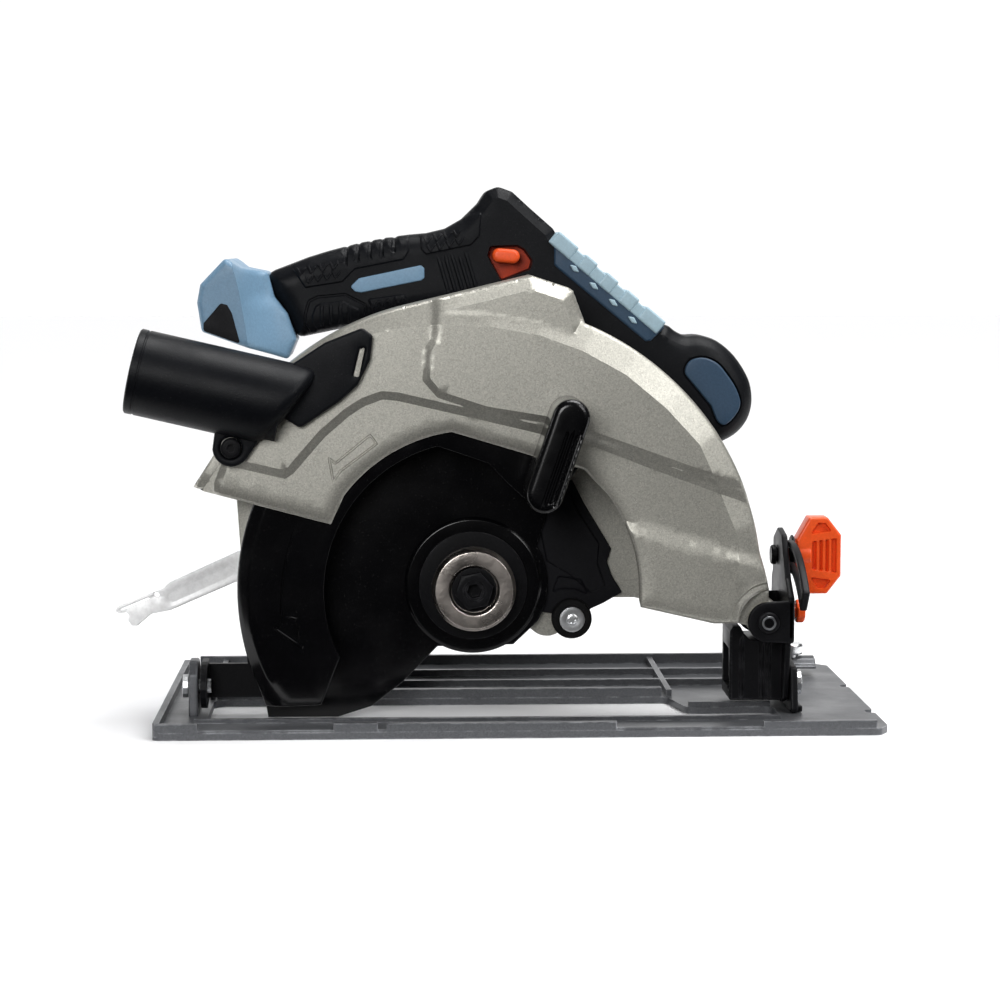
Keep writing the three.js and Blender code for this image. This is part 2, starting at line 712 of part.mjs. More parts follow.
const BUMPER = [21.3, 44.7];
const bumperRing = () => ringY(BUMPER, 8.5, 3, -39.4, -33.7);
const bumperScrew = () => all([rodY(BUMPER, 4.9, -41.4, -39.7), rodY(BUMPER, 2.7, -40, -33.7)]);

// ---------------------------------------------------------------- handle, foot and controls

const HANDLE_OUTLINE = [
  [-104.7, 187.6],
  [-91, 194],
  [-57.6, 202],
  [-34, 205],
  [-21.6, 209],
  [-12.5, 221],
  [-7, 223.6],
  [0, 220.5],
  [18.7, 204.4],
  [63.7, 165],
  [74.5, 160],
  [85, 157.7],
  [96, 149],
  [102, 136],
  [100.6, 124],
  [94, 116.5],
  [78, 110],
  [52, 104],
  ...arc(MOTOR, 39, 36, 144, 8),
  [-66, 107],
  [-86, 122],
  [-97, 136],
  [-95.6, 150],
  [-88, 146],
  [-68, 132],
  [-46, 127],
  [-14, 129],
  [-1, 138],
  [2, 152],
  [-6, 166],
  [-28, 171],
  [-50, 168.5],
  [-74, 163.5],
  [-92.8, 159.6],
  [-101.6, 176],
];

const GRIP_PAD = [[16.7, 205], [63, 164.6], [57, 157.4], [16.7, 192]];
const KNOB_PANEL = [[74, 148], [80, 151], [87, 148], [96, 135], [95, 125.5], [88, 122.5], [80.5, 131]];
const BADGE = [[-71, 186], [-69, 190.5], [-44, 195.5], [-41, 193], [-43, 188.5], [-68, 183.5]];
const TRIGGER = [[-27, 160], [-24, 154], [-12, 150.5], [-7, 154], [-5.5, 162], [-5.5, 182], [-27, 182]];
const TRIGGER_TRAVEL = 5;
const LOCK_OFF = strap([-5, 192], [2, 194], 4.2);
const FOOT_INSERT = [[-131, 168], [-131, 176], [-126.5, 175.5], [-126.5, 166.4]];

/** Outline points moved away from the outline's middle by amount, for pockets round small pieces. */
function grown(points, amount) {
  const count = points.length;
  const middle = points.reduce(([x, y], [px, py]) => [x + px / count, y + py / count], [0, 0]);
  return points.map(([x, y]) => {
    const length = Math.hypot(x - middle[0], y - middle[1]);
    const share = 1 + amount / length;
    return [middle[0] + (x - middle[0]) * share, middle[1] + (y - middle[1]) * share];
  });
}

const HANDLE_SCREWS = [[-86, 172], [8, 178], [44, 118], [-60, 120]];

/** A screw head along Y with a round recess in its far face. */
const screwY = (axis, head, y0, y1) =>
  cut(rodY(axis, head, y0, y1), [rodY(axis, head * 0.45, y1 - 1.2, y1 + 1)]);

/** One half of the clamshell, near (side -1) or far (side +1), hollow and open at the split. */
function handleHalf(side) {
  const whole = plateXZ(HANDLE_OUTLINE, -HANDLE.half, HANDLE.half, HANDLE.bevel);
  const seam = GAP / 2;
  const keep = side < 0 ? box(-200, 200, -60, -seam, 60, 260) : box(-200, 200, seam, 60, 60, 260);
  const inside = HANDLE.half - HANDLE.wall;
  const gripHollow = [[-97, 184], [-88, 190], [-56, 197.5], [-30, 200.5], [-30, 184], [-56, 180], [-90, 172]];
  const frontHollow = [[8, 196], [50, 156], [58, 140], [50, 112], [30, 122], [8, 150]];
  const panelFace = side * HANDLE.half;
  return cut(whole.intersect(keep), [
    plateXZ(gripHollow, -inside, inside),
    plateXZ(frontHollow, -inside, inside),
    plateXZ(grown(TRIGGER, 0.6).map(([x, z]) => [x, z > 170 ? z + TRIGGER_TRAVEL + 1 : z]), -8.4, 8.4),
    plateXZ(grown(GRIP_PAD, 0.5), -40, 40),
    plateXZ(grown(KNOB_PANEL, 0.4), panelFace - 2, panelFace + 2),
    plateXZ(grown(LOCK_OFF, 0.4), -40, 40),
    plateXZ(grown(BADGE, 0.4), -HANDLE.half - 2, -HANDLE.half + 1.6),
    ...HANDLE_SCREWS.map((axis) => rodY(axis, 3.5, HANDLE.half - 2.4, HANDLE.half + 2)),
  ]);
}

/** The battery foot, flared to the rear, with a rail channel open below and to the rear. */
function batteryFoot() {
  const side = [
    [-134, 175],
    [-132.5, 182],
    [-122, 193.5],
    [-115, 189],
    [-105.2, 187.8],
    [-102.2, 176],
    [-93.4, 159],
    [-96.6, 150.4],
    [-132, 163],
  ];
  const plan = [
    [-136, -FOOT_HALF],
    [-124, -FOOT_HALF],
    [-104, -20],
    [-90, -17],
    [-90, 17],
    [-104, 20],
    [-124, FOOT_HALF],
    [-136, FOOT_HALF],
  ];
  const slope = Math.atan2(150.4 - 163, -96.6 + 132);
  const channel = (half, low, high, from, to) =>
    box(from, to, -half, half, low, high).rotate([0, (-slope * 180) / Math.PI, 0]).translate([-132, 0, 163]);
  const body = plateXZ(side, -FOOT_HALF, FOOT_HALF, 2.5).intersect(plateXY(plan, 140, 200));
  return cut(body, [
    channel(11, -3, 8, -12, 30),
    channel(30, 2.6, 8, -12, 12),
    plateXZ(grown(FOOT_INSERT, 0.4), -FOOT_HALF - 2, -FOOT_HALF + 2),
    plateXZ(grown(FOOT_INSERT, 0.4), FOOT_HALF - 2, FOOT_HALF + 2),
  ]);
}

/** The contact blades that a battery pushes onto. */
function terminalBlock() {
  const blades = [-6, 0, 6].map((y) => box(-122, -112.6, y - 0.5, y + 0.5, 158, 161));
  return all([box(-113, -108.5, -8, 8, 156.6, 161.2), ...blades]);
}

const DUST_ADAPTER = [
  [-96, 146],
  [-90, 158.6],
  [-61, 163.6],
  [-60, 156.5],
  [-67, 143.5],
  [-80, 130],
  [-92, 136],
];

/** The exhaust tube with its flat adapter and screw ear on the upper guard's face. */
function dustPort() {
  const tube = dustTube(DUST.outerR, 0, DUST.length);
  const ear = [[-108, 126], [-120, 125], ...arc(DUST_SCREW, 7.5, 180, 320, 8), [-104, 118]];
  const body = all([tube, plateXZ(DUST_ADAPTER, -67.4, -64.3), plateXZ(ear, -67.4, -64.3)]);
  return cut(body, [
    dustTube(DUST.innerR, -1, DUST.length - 3),
    rodY(ARBOR, LOWER.outerR + 1.5, LOWER.near - 0.6, -20),
    box(-106, -92, -50, -40, 118, 134),
    rodY(DUST_SCREW, 2.6, -70, -60),
    box(-71.5, -70, -70, -62, 150, 158),
  ]);
}

/** Socket-head screw of the dust port's ear. */
const dustPortScrew = () =>
  rodY(DUST_SCREW, 4, -70, -67.7)
    .add(rodY(DUST_SCREW, 2.2, -68, -61.4))
    .subtract(rodY(DUST_SCREW, 1.8, -71, -69));

/** The pressed lever that clamps the depth setting, with its finger tab and rivet hole. */
function depthLockLever() {
  const outlines = [
    strap(DEPTH_CLAMP, [-161, 44.5], 4.6),
    [[-160, 48], [-169, 48], [-171, 45.5], [-169, 43], [-160, 41]],
    [[-150, 46], [-168, 42], ...arc([-161, 40], 5.5, 200, 330, 6)],
  ];
  const hub = rodY(DEPTH_CLAMP, 8, -23.8, -19.6);
  const body = all([hub, ...outlines.map((outline) => plateXZ(outline, -23.4, -20.6))]);
  return cut(body, [rodY(DEPTH_CLAMP, 3.3, -30, -10), rodY([-160, 40], 1.6, -30, -10)]);
}

/** The depth clamp bolt, from its head inside the guard to its nut behind the lever. */
const depthClampBolt = () => all([rodY(DEPTH_CLAMP, 5.5, -33.1, -31.3), rodY(DEPTH_CLAMP, 3, -32, -18.4)]);

/** The spindle lock's pin and push button. */
const spindleLock = () => all([rodY(LOCK_PIN, 2.3, -12.2, -5), rodY(LOCK_PIN, 4.2, -6.8, -2.6)]);

const STOP = [-36.5, 44.6];

/** A small cam in front of the cross plate that stops the bevel at a set angle. */
const bevelStop = () =>
  all([rodX(STOP, 4.6, 117.7, 121.4), rodX(STOP, 2.6, 114.3, 118), box(117.7, 121.4, -42, -31, 42, 47)]);

// ---------------------------------------------------------------- assembly

piece("shoe", shoe(), "shoe_paint");
piece("bevel_quadrant", bevelQuadrant(), "black_steel");
piece("front_bevel_pin", pinX(BEVEL_AXIS, PIN.radius, 5.5, 120.3, 104, 2.6), "zinc");
piece("rear_bevel_pin", pinX(BEVEL_AXIS, PIN.radius, 5, -141.2, -129.4, 2.6), "zinc");
piece("fence_screw", all([rodZ(FENCE_SCREW, 2.9, 6.4, 12), rodZ(FENCE_SCREW, 5, 10.9, 17)]), "zinc");

piece("front_bracket", frontBracket(), "black_steel");
piece("depth_arc", depthArc(), "black_steel");
piece("depth_pivot_pin", depthPivotPin(), "black_steel");
piece("bevel_stud", all([rodX(BEVEL_CLAMP, 2.9, 109, 132.6), rodX(BEVEL_CLAMP, 5.4, 109, 111)]), "zinc");
piece("bevel_washer", bevelWasher(), "black_steel");
piece("bevel_knob", bevelKnob(), "orange");

piece("upper_guard", upperGuard(), "guard_paint");
piece("gear_housing", gearHousing(), "guard_paint");
piece("bearing_cover", bearingCover(), "matte_black");
piece("bumper_ring", bumperRing(), "rubber");
piece("bumper_screw", bumperScrew(), "zinc");
piece("guard_retaining_ring", ringY(ARBOR, 23, 12, -38.5, -37.7), "steel");
piece("motor_housing", motorHousing(), "black_plastic");
piece("motor_cap", motorCap(), "black_plastic");
piece("stator", stator(), "copper");
piece("rotor_bearing_front", ringY(MOTOR, 8, 4.3, -11.2, -4), "steel");
piece("rotor_bearing_rear", ringY(MOTOR, 8, 4.3, 62, 70), "steel");
piece("spindle_bearing_front", ringY(ARBOR, 14, 6.3, -35.2, -26.6), "steel");
piece("spindle_bearing_rear", ringY(ARBOR, 9, 6.3, -8.2, -2.4), "steel");
piece("handle_near", handleHalf(-1), "black_plastic");
piece("handle_far", handleHalf(1), "black_plastic");
piece("battery_foot", batteryFoot(), "steel_blue");
piece("foot_insert_near", plateXZ(FOOT_INSERT, -FOOT_HALF - 0.2, -FOOT_HALF + 1.7), "matte_black");
piece("foot_insert_far", plateXZ(FOOT_INSERT, FOOT_HALF - 1.7, FOOT_HALF + 0.2), "matte_black");
piece("terminal_block", terminalBlock(), "black_plastic");
piece("front_grip_pad", plateXZ(GRIP_PAD, -18, 18, 2), "ice_blue");
piece("knob_panel_near", plateXZ(KNOB_PANEL, -17.2, -14.8), "deep_blue");
piece("knob_panel_far", plateXZ(KNOB_PANEL, 14.8, 17.2), "deep_blue");
piece("grip_badge", plateXZ(BADGE, -17, -15.2), "deep_blue");
piece("switch_module", box(-54, -32, -8, 8, 184, 194), "black_plastic");
piece("controller", box(16, 40, -9, 9, 140, 152), "matte_black");
HANDLE_SCREWS.forEach((axis, i) => {
  piece(`handle_screw_${i + 1}`, screwY(axis, 3, HANDLE.half - 2, HANDLE.half - 0.3), "zinc");
});
piece("dust_port", dustPort(), "black_plastic");
piece("dust_port_screw", dustPortScrew(), "black_steel");
piece("depth_clamp_bolt", depthClampBolt(), "zinc");

piece("spindle", spindle(), "steel");
piece("output_gear", outputGear(), "steel");
piece("inner_flange", innerFlange(), "nickel");
piece("outer_flange", outerFlange(), "nickel");
piece("blade_bolt", bladeBolt(), "black_steel");
piece("rotor_shaft", rotorShaft(), "steel");
piece("rotor_core", ringY(MOTOR, 15, 4.3, 20, 50), "steel");
piece("fan", fan(), "black_plastic");

piece("lower_guard", lowerGuard(), "gloss_black");
piece("guard_lever", guardLever(), "gloss_black");
piece("guard_spring", guardSpring(), "steel");

piece("trigger", plateXZ(TRIGGER, -7.8, 7.8, 1.5), "black_plastic");
piece("lock_off", plateXZ(LOCK_OFF, -19, 19, 1), "orange");
piece("spindle_lock", spindleLock(), "black_plastic");
piece("depth_lock_lever", depthLockLever(), "zinc");
piece("bevel_stop", bevelStop(), "orange");

export default saw;
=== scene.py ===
"""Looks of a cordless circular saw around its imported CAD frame. Shapes are given in millimetres."""

import json
import math

import bmesh
import bpy
import numpy as np
from mathutils import Matrix, Vector, kdtree
from mathutils.geometry import delaunay_2d_cdt

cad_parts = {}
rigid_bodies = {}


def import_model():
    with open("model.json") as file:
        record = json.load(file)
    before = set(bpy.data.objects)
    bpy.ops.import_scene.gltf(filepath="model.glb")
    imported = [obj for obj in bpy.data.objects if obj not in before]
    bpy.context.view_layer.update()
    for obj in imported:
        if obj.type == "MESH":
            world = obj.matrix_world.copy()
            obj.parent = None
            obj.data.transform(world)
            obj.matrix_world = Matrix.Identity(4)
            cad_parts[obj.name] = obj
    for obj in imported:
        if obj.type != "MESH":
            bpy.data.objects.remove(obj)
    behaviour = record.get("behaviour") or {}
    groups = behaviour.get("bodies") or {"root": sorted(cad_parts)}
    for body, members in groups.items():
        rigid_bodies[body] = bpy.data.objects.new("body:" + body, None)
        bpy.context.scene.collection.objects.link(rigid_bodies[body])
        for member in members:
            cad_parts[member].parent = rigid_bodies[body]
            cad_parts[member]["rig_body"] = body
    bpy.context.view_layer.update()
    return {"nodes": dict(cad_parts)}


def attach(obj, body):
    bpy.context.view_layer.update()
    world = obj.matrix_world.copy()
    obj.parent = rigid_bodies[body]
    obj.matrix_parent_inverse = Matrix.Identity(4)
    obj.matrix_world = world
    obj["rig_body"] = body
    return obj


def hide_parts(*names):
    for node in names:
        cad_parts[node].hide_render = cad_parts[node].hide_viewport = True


MM = 0.001
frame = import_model()


# ---------------------------------------------------------------- driving dimensions, as in the CAD

ARBOR = (-19, 56.5)
MOTOR = (-7, 80.7)
DEPTH_PIVOT = (103, 43)
DEPTH_CLAMP = (-106, 58)
BEVEL_CLAMP = (-22, 67)
BEVEL_PIVOT = (-35, 14)
BEVEL_STOP = (-36.5, 44.6)
DUST_SCREW = (-118, 117)
BUMPER = (22.6, 42.1)
HANDLE_HALF = 16.5
DUST_RADIUS, DUST_BORE, DUST_TILT = 17.5, 15.3, 13

# the camera and the stage, in metres and degrees
CAMERA = (-0.050, -1.087, 0.199)
CAMERA_LENS, CAMERA_SENSOR = 90.6, 36
CAMERA_DIP, CAMERA_TURN = 5.79, -2.31
FLOOR_SIZE, FLAG_SIZE, FLAG_EDGE = 6, 3, -0.11
# the world brightens from 0.05 to 1.05 between these shares of the backward direction
WORLD_FADE = (0.62, 0.90, 0.05, 1.05)
SUN_STRENGTH, SUN_ANGLE, SUN_FROM = 3.1, 40, (0.22, 0.10, 1)
# name: place, target, size, watts
AREA_LIGHTS = {
    "right_key": ((0.95, -0.95, 0.85), (0.03, 0, 0.13), (0.6, 0.6), 7),
    "right_top": ((0.75, -0.25, 1.20), (0.03, 0, 0.15), (0.9, 0.7), 6.5),
    "front": ((-0.35, -1.25, 0.50), (-0.08, -0.06, 0.12), (0.5, 0.5), 8),
    "left_strip": ((-1.2, 0.15, 0.35), (-0.1, -0.05, 0.12), (0.1, 1.0), 3),
}


# ---------------------------------------------------------------- flat geometry

def polar(centre, r, degrees):
    """The point at an angle and a distance from a centre."""
    angle = math.radians(degrees)
    return (centre[0] + r * math.cos(angle), centre[1] + r * math.sin(angle))


def arc(centre, r, start, end, steps=24):
    return [polar(centre, r, start + (end - start) * i / steps) for i in range(steps + 1)]


def strap(a, b, half, steps=12):
    """The outline of a straight bar with round ends."""
    heading = math.degrees(math.atan2(b[1] - a[1], b[0] - a[0]))
    return arc(b, half, heading - 90, heading + 90, steps) + arc(a, half, heading + 90, heading + 270, steps)


def bend(start, corner, end, shares):
    """Points on the curve that leaves start towards the corner and arrives at end."""
    return [tuple((1 - t) ** 2 * start + 2 * t * (1 - t) * corner + t * t * end) for t in shares]


def rounded(points, radius, steps=5):
    """A closed outline with its corners rounded, as far as the sides leave room."""
    pts = [np.array(p, float) for p in points]
    out = []
    for i, corner in enumerate(pts):
        back, ahead = pts[i - 1] - corner, pts[(i + 1) % len(pts)] - corner
        lb, la = np.linalg.norm(back), np.linalg.norm(ahead)
        turn = math.acos(max(-1, min(1, float(back @ ahead / (lb * la)))))
        reach = min(radius / math.tan(turn / 2), 0.45 * lb, 0.45 * la)
        start, end = corner + back / lb * reach, corner + ahead / la * reach
        out += bend(start, corner, end, [k / steps for k in range(steps + 1)])
    return out


def curve(points, steps=5):
    """A line that runs smoothly through its points."""
    pts = [np.array(p, float) for p in points]
    pts = [2 * pts[0] - pts[1], *pts, 2 * pts[-1] - pts[-2]]
    out = []
    for a, b, c, d in zip(pts, pts[1:], pts[2:], pts[3:]):
        for k in range(steps):
            t = k / steps
            out.append(tuple(0.5 * (2 * b + (c - a) * t + (2 * a - 5 * b + 4 * c - d) * t ** 2
                                    + (3 * b - a - 3 * c + d) * t ** 3)))
    return out + [tuple(pts[-2])]


def resampled(line, step, closed):
    """Points along a line that are no further apart than a step."""
    pts = [np.array(p, float) for p in line]
    if closed:
        pts.append(pts[0])
    out = []
    for a, b in zip(pts, pts[1:]):
        n = max(1, math.ceil(np.linalg.norm(b - a) / step))
        out += [a + (b - a) * i / n for i in range(n)]
    if not closed:
        out.append(pts[-1])
    return np.array(out)


def distance(points, line, closed=False):
    """Distance of each point to a polyline."""
    line = np.array(line, float)
    if closed:
        line = np.vstack([line, line[:1]])
    best = np.full(len(points), 1e9)
    for a, b in zip(line, line[1:]):
        ab = b - a
        t = np.clip((points - a) @ ab / max(float(ab @ ab), 1e-9), 0, 1)
        gap = points - a - t[:, None] * ab
        best = np.minimum(best, np.hypot(gap[:, 0], gap[:, 1]))
    return best


def radius_from(points, centre):
    return np.hypot(points[:, 0] - centre[0], points[:, 1] - centre[1])


def inside(points, polygon):
    """Which points lie in a polygon, by counting the sides that a ray crosses."""
    x, y = points[:, 0], points[:, 1]
    odd = np.zeros(len(points), bool)
    polygon = [tuple(map(float, p)) for p in polygon]
    for (ax, ay), (bx, by) in zip(polygon, polygon[1:] + polygon[:1]):
        if ay == by:
            continue
        odd ^= ((ay > y) != (by > y)) & (x < (bx - ax) * (y - ay) / (by - ay) + ax)
    return odd


def straight(value, low, high):
    """A straight slope from 0 at low to 1 at high."""
    return np.clip((value - low) / (high - low), 0, 1)


def raised(points, polygon, slope):
    """1 inside a polygon and 0 outside, with a straight slope inside its edge."""
    return np.where(inside(points, polygon), straight(distance(points, polygon, True), 0, slope), 0)


def fillet(d, r):
    """How far a rounded edge has dropped at distance d from the edge."""
    d = np.clip(d, 0, r)
    return r - np.sqrt(np.maximum(r * r - (r - d) ** 2, 0))


def fillet_rows(r):
    """Offsets from a line where a rounded edge of radius r needs points, on both sides."""
    return [s * r * (1 - math.cos(math.radians(a))) for a in (20, 38, 56, 74, 90) for s in (1, -1)]


def offset_rows(line, closed, offsets, step):
    """Rows of points beside a line, at signed offsets, without those that cross over at corners."""
    pts = resampled(line, step, closed)
    ahead, behind = np.roll(pts, -1, 0) - pts, pts - np.roll(pts, 1, 0)
    if not closed:
        ahead[-1], behind[0] = behind[-1], ahead[0]
    ahead /= np.linalg.norm(ahead, axis=1)[:, None] + 1e-9
    behind /= np.linalg.norm(behind, axis=1)[:, None] + 1e-9
    tangent = ahead + behind
    tangent /= np.linalg.norm(tangent, axis=1)[:, None] + 1e-9
    normal = np.stack([-tangent[:, 1], tangent[:, 0]], 1)
    rows = []
    for d in offsets:
        moved = pts + normal * d
        rows.append(moved[np.abs(distance(moved, line, closed) - abs(d)) < 0.2 * abs(d) + 0.02])
    return np.vstack(rows)


def hole(centre, r=3.4):
    """The outline of a round hole, which clears the pins and bolts unless its radius is given."""
    return arc(centre, r, 360, 10, 35)


def ring_profile(inner, outer, near, far):
    """The lathe profile of a plain ring."""
    return [(inner, near), (outer, near), (outer, far), (inner, far)]


# ---------------------------------------------------------------- materials

def node(tree, kind, **values):
    """A shader node with the given inputs or settings."""
    made = tree.nodes.new(kind)
    for key, value in values.items():
        if key in made.inputs:
            made.inputs[key].default_value = value
        else:
            setattr(made, key, value)
    return made


MATERIALS = {}
DUST_COLOUR = (0.45, 0.44, 0.42)


def finish(name, colour, roughness, metallic, grain, mottle, bump, bump_scale, spread=0.1, flakes=0.0,
        wear=0.0, wear_colour=(0.75, 0.74, 0.72), brushed=None, dust=0.0, specular=0.5):
    """A procedural material: mottled colour, uneven roughness, bumps, and flakes, dust and worn edges."""
    made = bpy.data.materials.new(name)
    made.use_nodes = True
    tree = made.node_tree
    tree.nodes.clear()
    link = tree.links.new
    shader = node(tree, "ShaderNodeBsdfPrincipled", Metallic=metallic)
    shader.inputs["Specular IOR Level"].default_value = specular
    output = node(tree, "ShaderNodeOutputMaterial")
    link(shader.outputs[0], output.inputs[0])
    place = grain_place = node(tree, "ShaderNodeTexCoord").outputs["Object"]
    if brushed:
        stretch = node(tree, "ShaderNodeVectorMath", operation="MULTIPLY")
        stretch.inputs[1].default_value = brushed
        link(place, stretch.inputs[0])
        grain_place = stretch.outputs[0]

    def noise(scale, detail=3.0, where=None):
        made_noise = node(tree, "ShaderNodeTexNoise", Scale=scale, Detail=detail, Roughness=0.6)
        link(where or place, made_noise.inputs["Vector"])
        return made_noise.outputs["Fac"]

    def mapped(value, low, high, new_low, new_high):
        box = node(tree, "ShaderNodeMapRange")
        for i, number in enumerate((low, high, new_low, new_high)):
            box.inputs[i + 1].default_value = number
        link(value, box.inputs[0])
        return box.outputs[0]

    def mixed(share, a, b):
        box = node(tree, "ShaderNodeMix", data_type="RGBA")
        for socket, value in ((box.inputs[6], a), (box.inputs[7], b)):
            if isinstance(value, tuple):
                socket.default_value = (*value, 1)
            else:
                link(value, socket)
        link(share, box.inputs[0])
        return box.outputs[2]

    dark = tuple(c * (1 - mottle) for c in colour)
    light = tuple(min(1, c * (1 + mottle)) for c in colour)
    paint = mixed(mapped(noise(grain, where=grain_place), 0.35, 0.65, 0, 1), dark, light)
    broad = mapped(noise(28, 4.0), 0.35, 0.7, 0, 1)
    rough = mapped(broad, 0, 1, roughness - spread, roughness + spread)
    if flakes:
        cells = node(tree, "ShaderNodeTexVoronoi", Scale=1900.0)
        link(place, cells.inputs["Vector"])
        share = mapped(cells.outputs["Color"], 0.25, 0.85, 0, 1)
        low, high = (tuple(min(1, c * k) for c in colour) for k in (1 - flakes, 1 + flakes))
        paint = mixed(mapped(noise(420, 2.0), 0.3, 0.7, 0.25, 0.75), paint, mixed(share, low, high))
    if dust:
        specks = mapped(noise(1500, 1.0), 0.70, 0.76, 0, dust)
        paint = mixed(specks, paint, DUST_COLOUR)
    if wear:
        soft = node(tree, "ShaderNodeBevel", samples=4, Radius=0.0009)
        shape = node(tree, "ShaderNodeNewGeometry")
        dot = node(tree, "ShaderNodeVectorMath", operation="DOT_PRODUCT")
        link(soft.outputs[0], dot.inputs[0])
        link(shape.outputs["Normal"], dot.inputs[1])
        edge = mapped(dot.outputs["Value"], 0.995, 0.90, 0, 1)
        patchy = mapped(noise(160, 5.0), 0.42, 0.62, 0, wear)
        both = node(tree, "ShaderNodeMath", operation="MULTIPLY")
        link(edge, both.inputs[0])
        link(patchy, both.inputs[1])
        paint = mixed(both.outputs[0], paint, wear_colour)
    link(paint, shader.inputs["Base Color"])
    link(rough, shader.inputs["Roughness"])
    bumpy = node(tree, "ShaderNodeBump", Strength=bump, Distance=0.00025)
    link(noise(bump_scale, 2.0, grain_place), bumpy.inputs["Height"])
    link(bumpy.outputs[0], shader.inputs["Normal"])
    MATERIALS[name] = made
    return made


# name, colour, roughness, metallic, grain scale, mottle, bump strength and bump scale
finish("guard_paint", (0.43, 0.42, 0.375), 0.42, 0.72, 2400, 0.12, 0.25, 2600, spread=0.03, flakes=0.26,
       wear=0.30)
finish("shoe_paint", (0.092, 0.095, 0.102), 0.40, 0.5, 1800, 0.10, 0.2, 2200, flakes=0.25, wear=0.8,
       wear_colour=(0.40, 0.41, 0.43))
finish("black_plastic", (0.005, 0.0055, 0.007), 0.42, 0, 1100, 0.15, 0.35, 2600, dust=0.03, specular=0.11)
finish("matte_black", (0.006, 0.006, 0.0075), 0.50, 0, 1000, 0.15, 0.3, 2000, dust=0.03, specular=0.12)
finish("gloss_black", (0.0015, 0.0015, 0.002), 0.20, 0, 700, 0.1, 0.03, 900, spread=0.05, dust=0.04,
       specular=0.35)
finish("black_steel", (0.005, 0.005, 0.006), 0.42, 0, 900, 0.15, 0.12, 1200, wear=0.3,
       wear_colour=(0.12, 0.12, 0.13), dust=0.03, specular=0.11)
finish("steel_blue", (0.165, 0.285, 0.41), 0.42, 0, 1000, 0.06, 0.3, 2400, specular=0.4)
finish("deep_blue", (0.030, 0.062, 0.108), 0.42, 0, 1000, 0.08, 0.3, 2400, specular=0.35)
finish("ice_blue", (0.36, 0.50, 0.58), 0.42, 0, 1000, 0.05, 0.25, 2400, specular=0.4)
finish("orange", (0.86, 0.095, 0.016), 0.34, 0, 1000, 0.06, 0.2, 2000, specular=0.4)
# a darker copy of the orange: painted shade for the lock-off well's recess
finish("orange_painted_shade", (0.42, 0.035, 0.006), 0.5, 0, 1000, 0.06, 0.2, 2000, specular=0.3)
finish("nickel", (0.55, 0.50, 0.46), 0.3, 1.0, 260, 0.12, 0.35, 500, brushed=(1, 8, 1))
finish("zinc", (0.74, 0.75, 0.76), 0.30, 1.0, 500, 0.08, 0.2, 900)
# near-white, barely metallic zinc: the lever's plating with painted glare that makes it whiter than the
# metal
finish("zinc_painted_glare", (0.95, 0.95, 0.95), 0.45, 0.1, 500, 0.08, 0.1, 900)
finish("steel", (0.42, 0.43, 0.45), 0.32, 1.0, 500, 0.1, 0.2, 900)
finish("rubber", (0.005, 0.005, 0.005), 0.7, 0, 900, 0.2, 0.4, 2400, dust=0.08, specular=0.10)
finish("copper", (0.55, 0.22, 0.09), 0.35, 0.9, 500, 0.15, 0.3, 900)


# ---------------------------------------------------------------- building pieces

PLANES = {
    "XZ": lambda u, v, w: (u, w, v),
    "XY": lambda u, v, w: (u, v, w),
    "YZ": lambda u, v, w: (w, u, v),
}


def scene_object(name, data):
    """A new object in the scene."""
    made = bpy.data.objects.new(name, data)
    bpy.context.scene.collection.objects.link(made)
    return made


def mesh_piece(name, vertices, faces, slot, body, replaces=(), sharp=32, place=None):
    """One object from vertices in millimetres, smooth except at edges sharper than the given angle."""
    mesh = bpy.data.meshes.new(name)
    places = [tuple(float(c) * MM for c in v) for v in vertices]
    mesh.from_pydata(places, [], [tuple(map(int, f)) for f in faces])
    if place is not None:
        mesh.transform(place)
    made = bmesh.new()
    made.from_mesh(mesh)
    bmesh.ops.remove_doubles(made, verts=made.verts, dist=2e-7)
    bmesh.ops.dissolve_degenerate(made, edges=made.edges, dist=1e-7)
    bmesh.ops.recalc_face_normals(made, faces=made.faces)
    made.to_mesh(mesh)
    made.free()
    mesh.materials.append(MATERIALS[slot])
    mesh.shade_smooth()
    mesh.set_sharp_from_angle(angle=math.radians(sharp))
    piece = scene_object(name, mesh)
    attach(piece, body)
    if replaces:
        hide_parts(*replaces)
    return piece


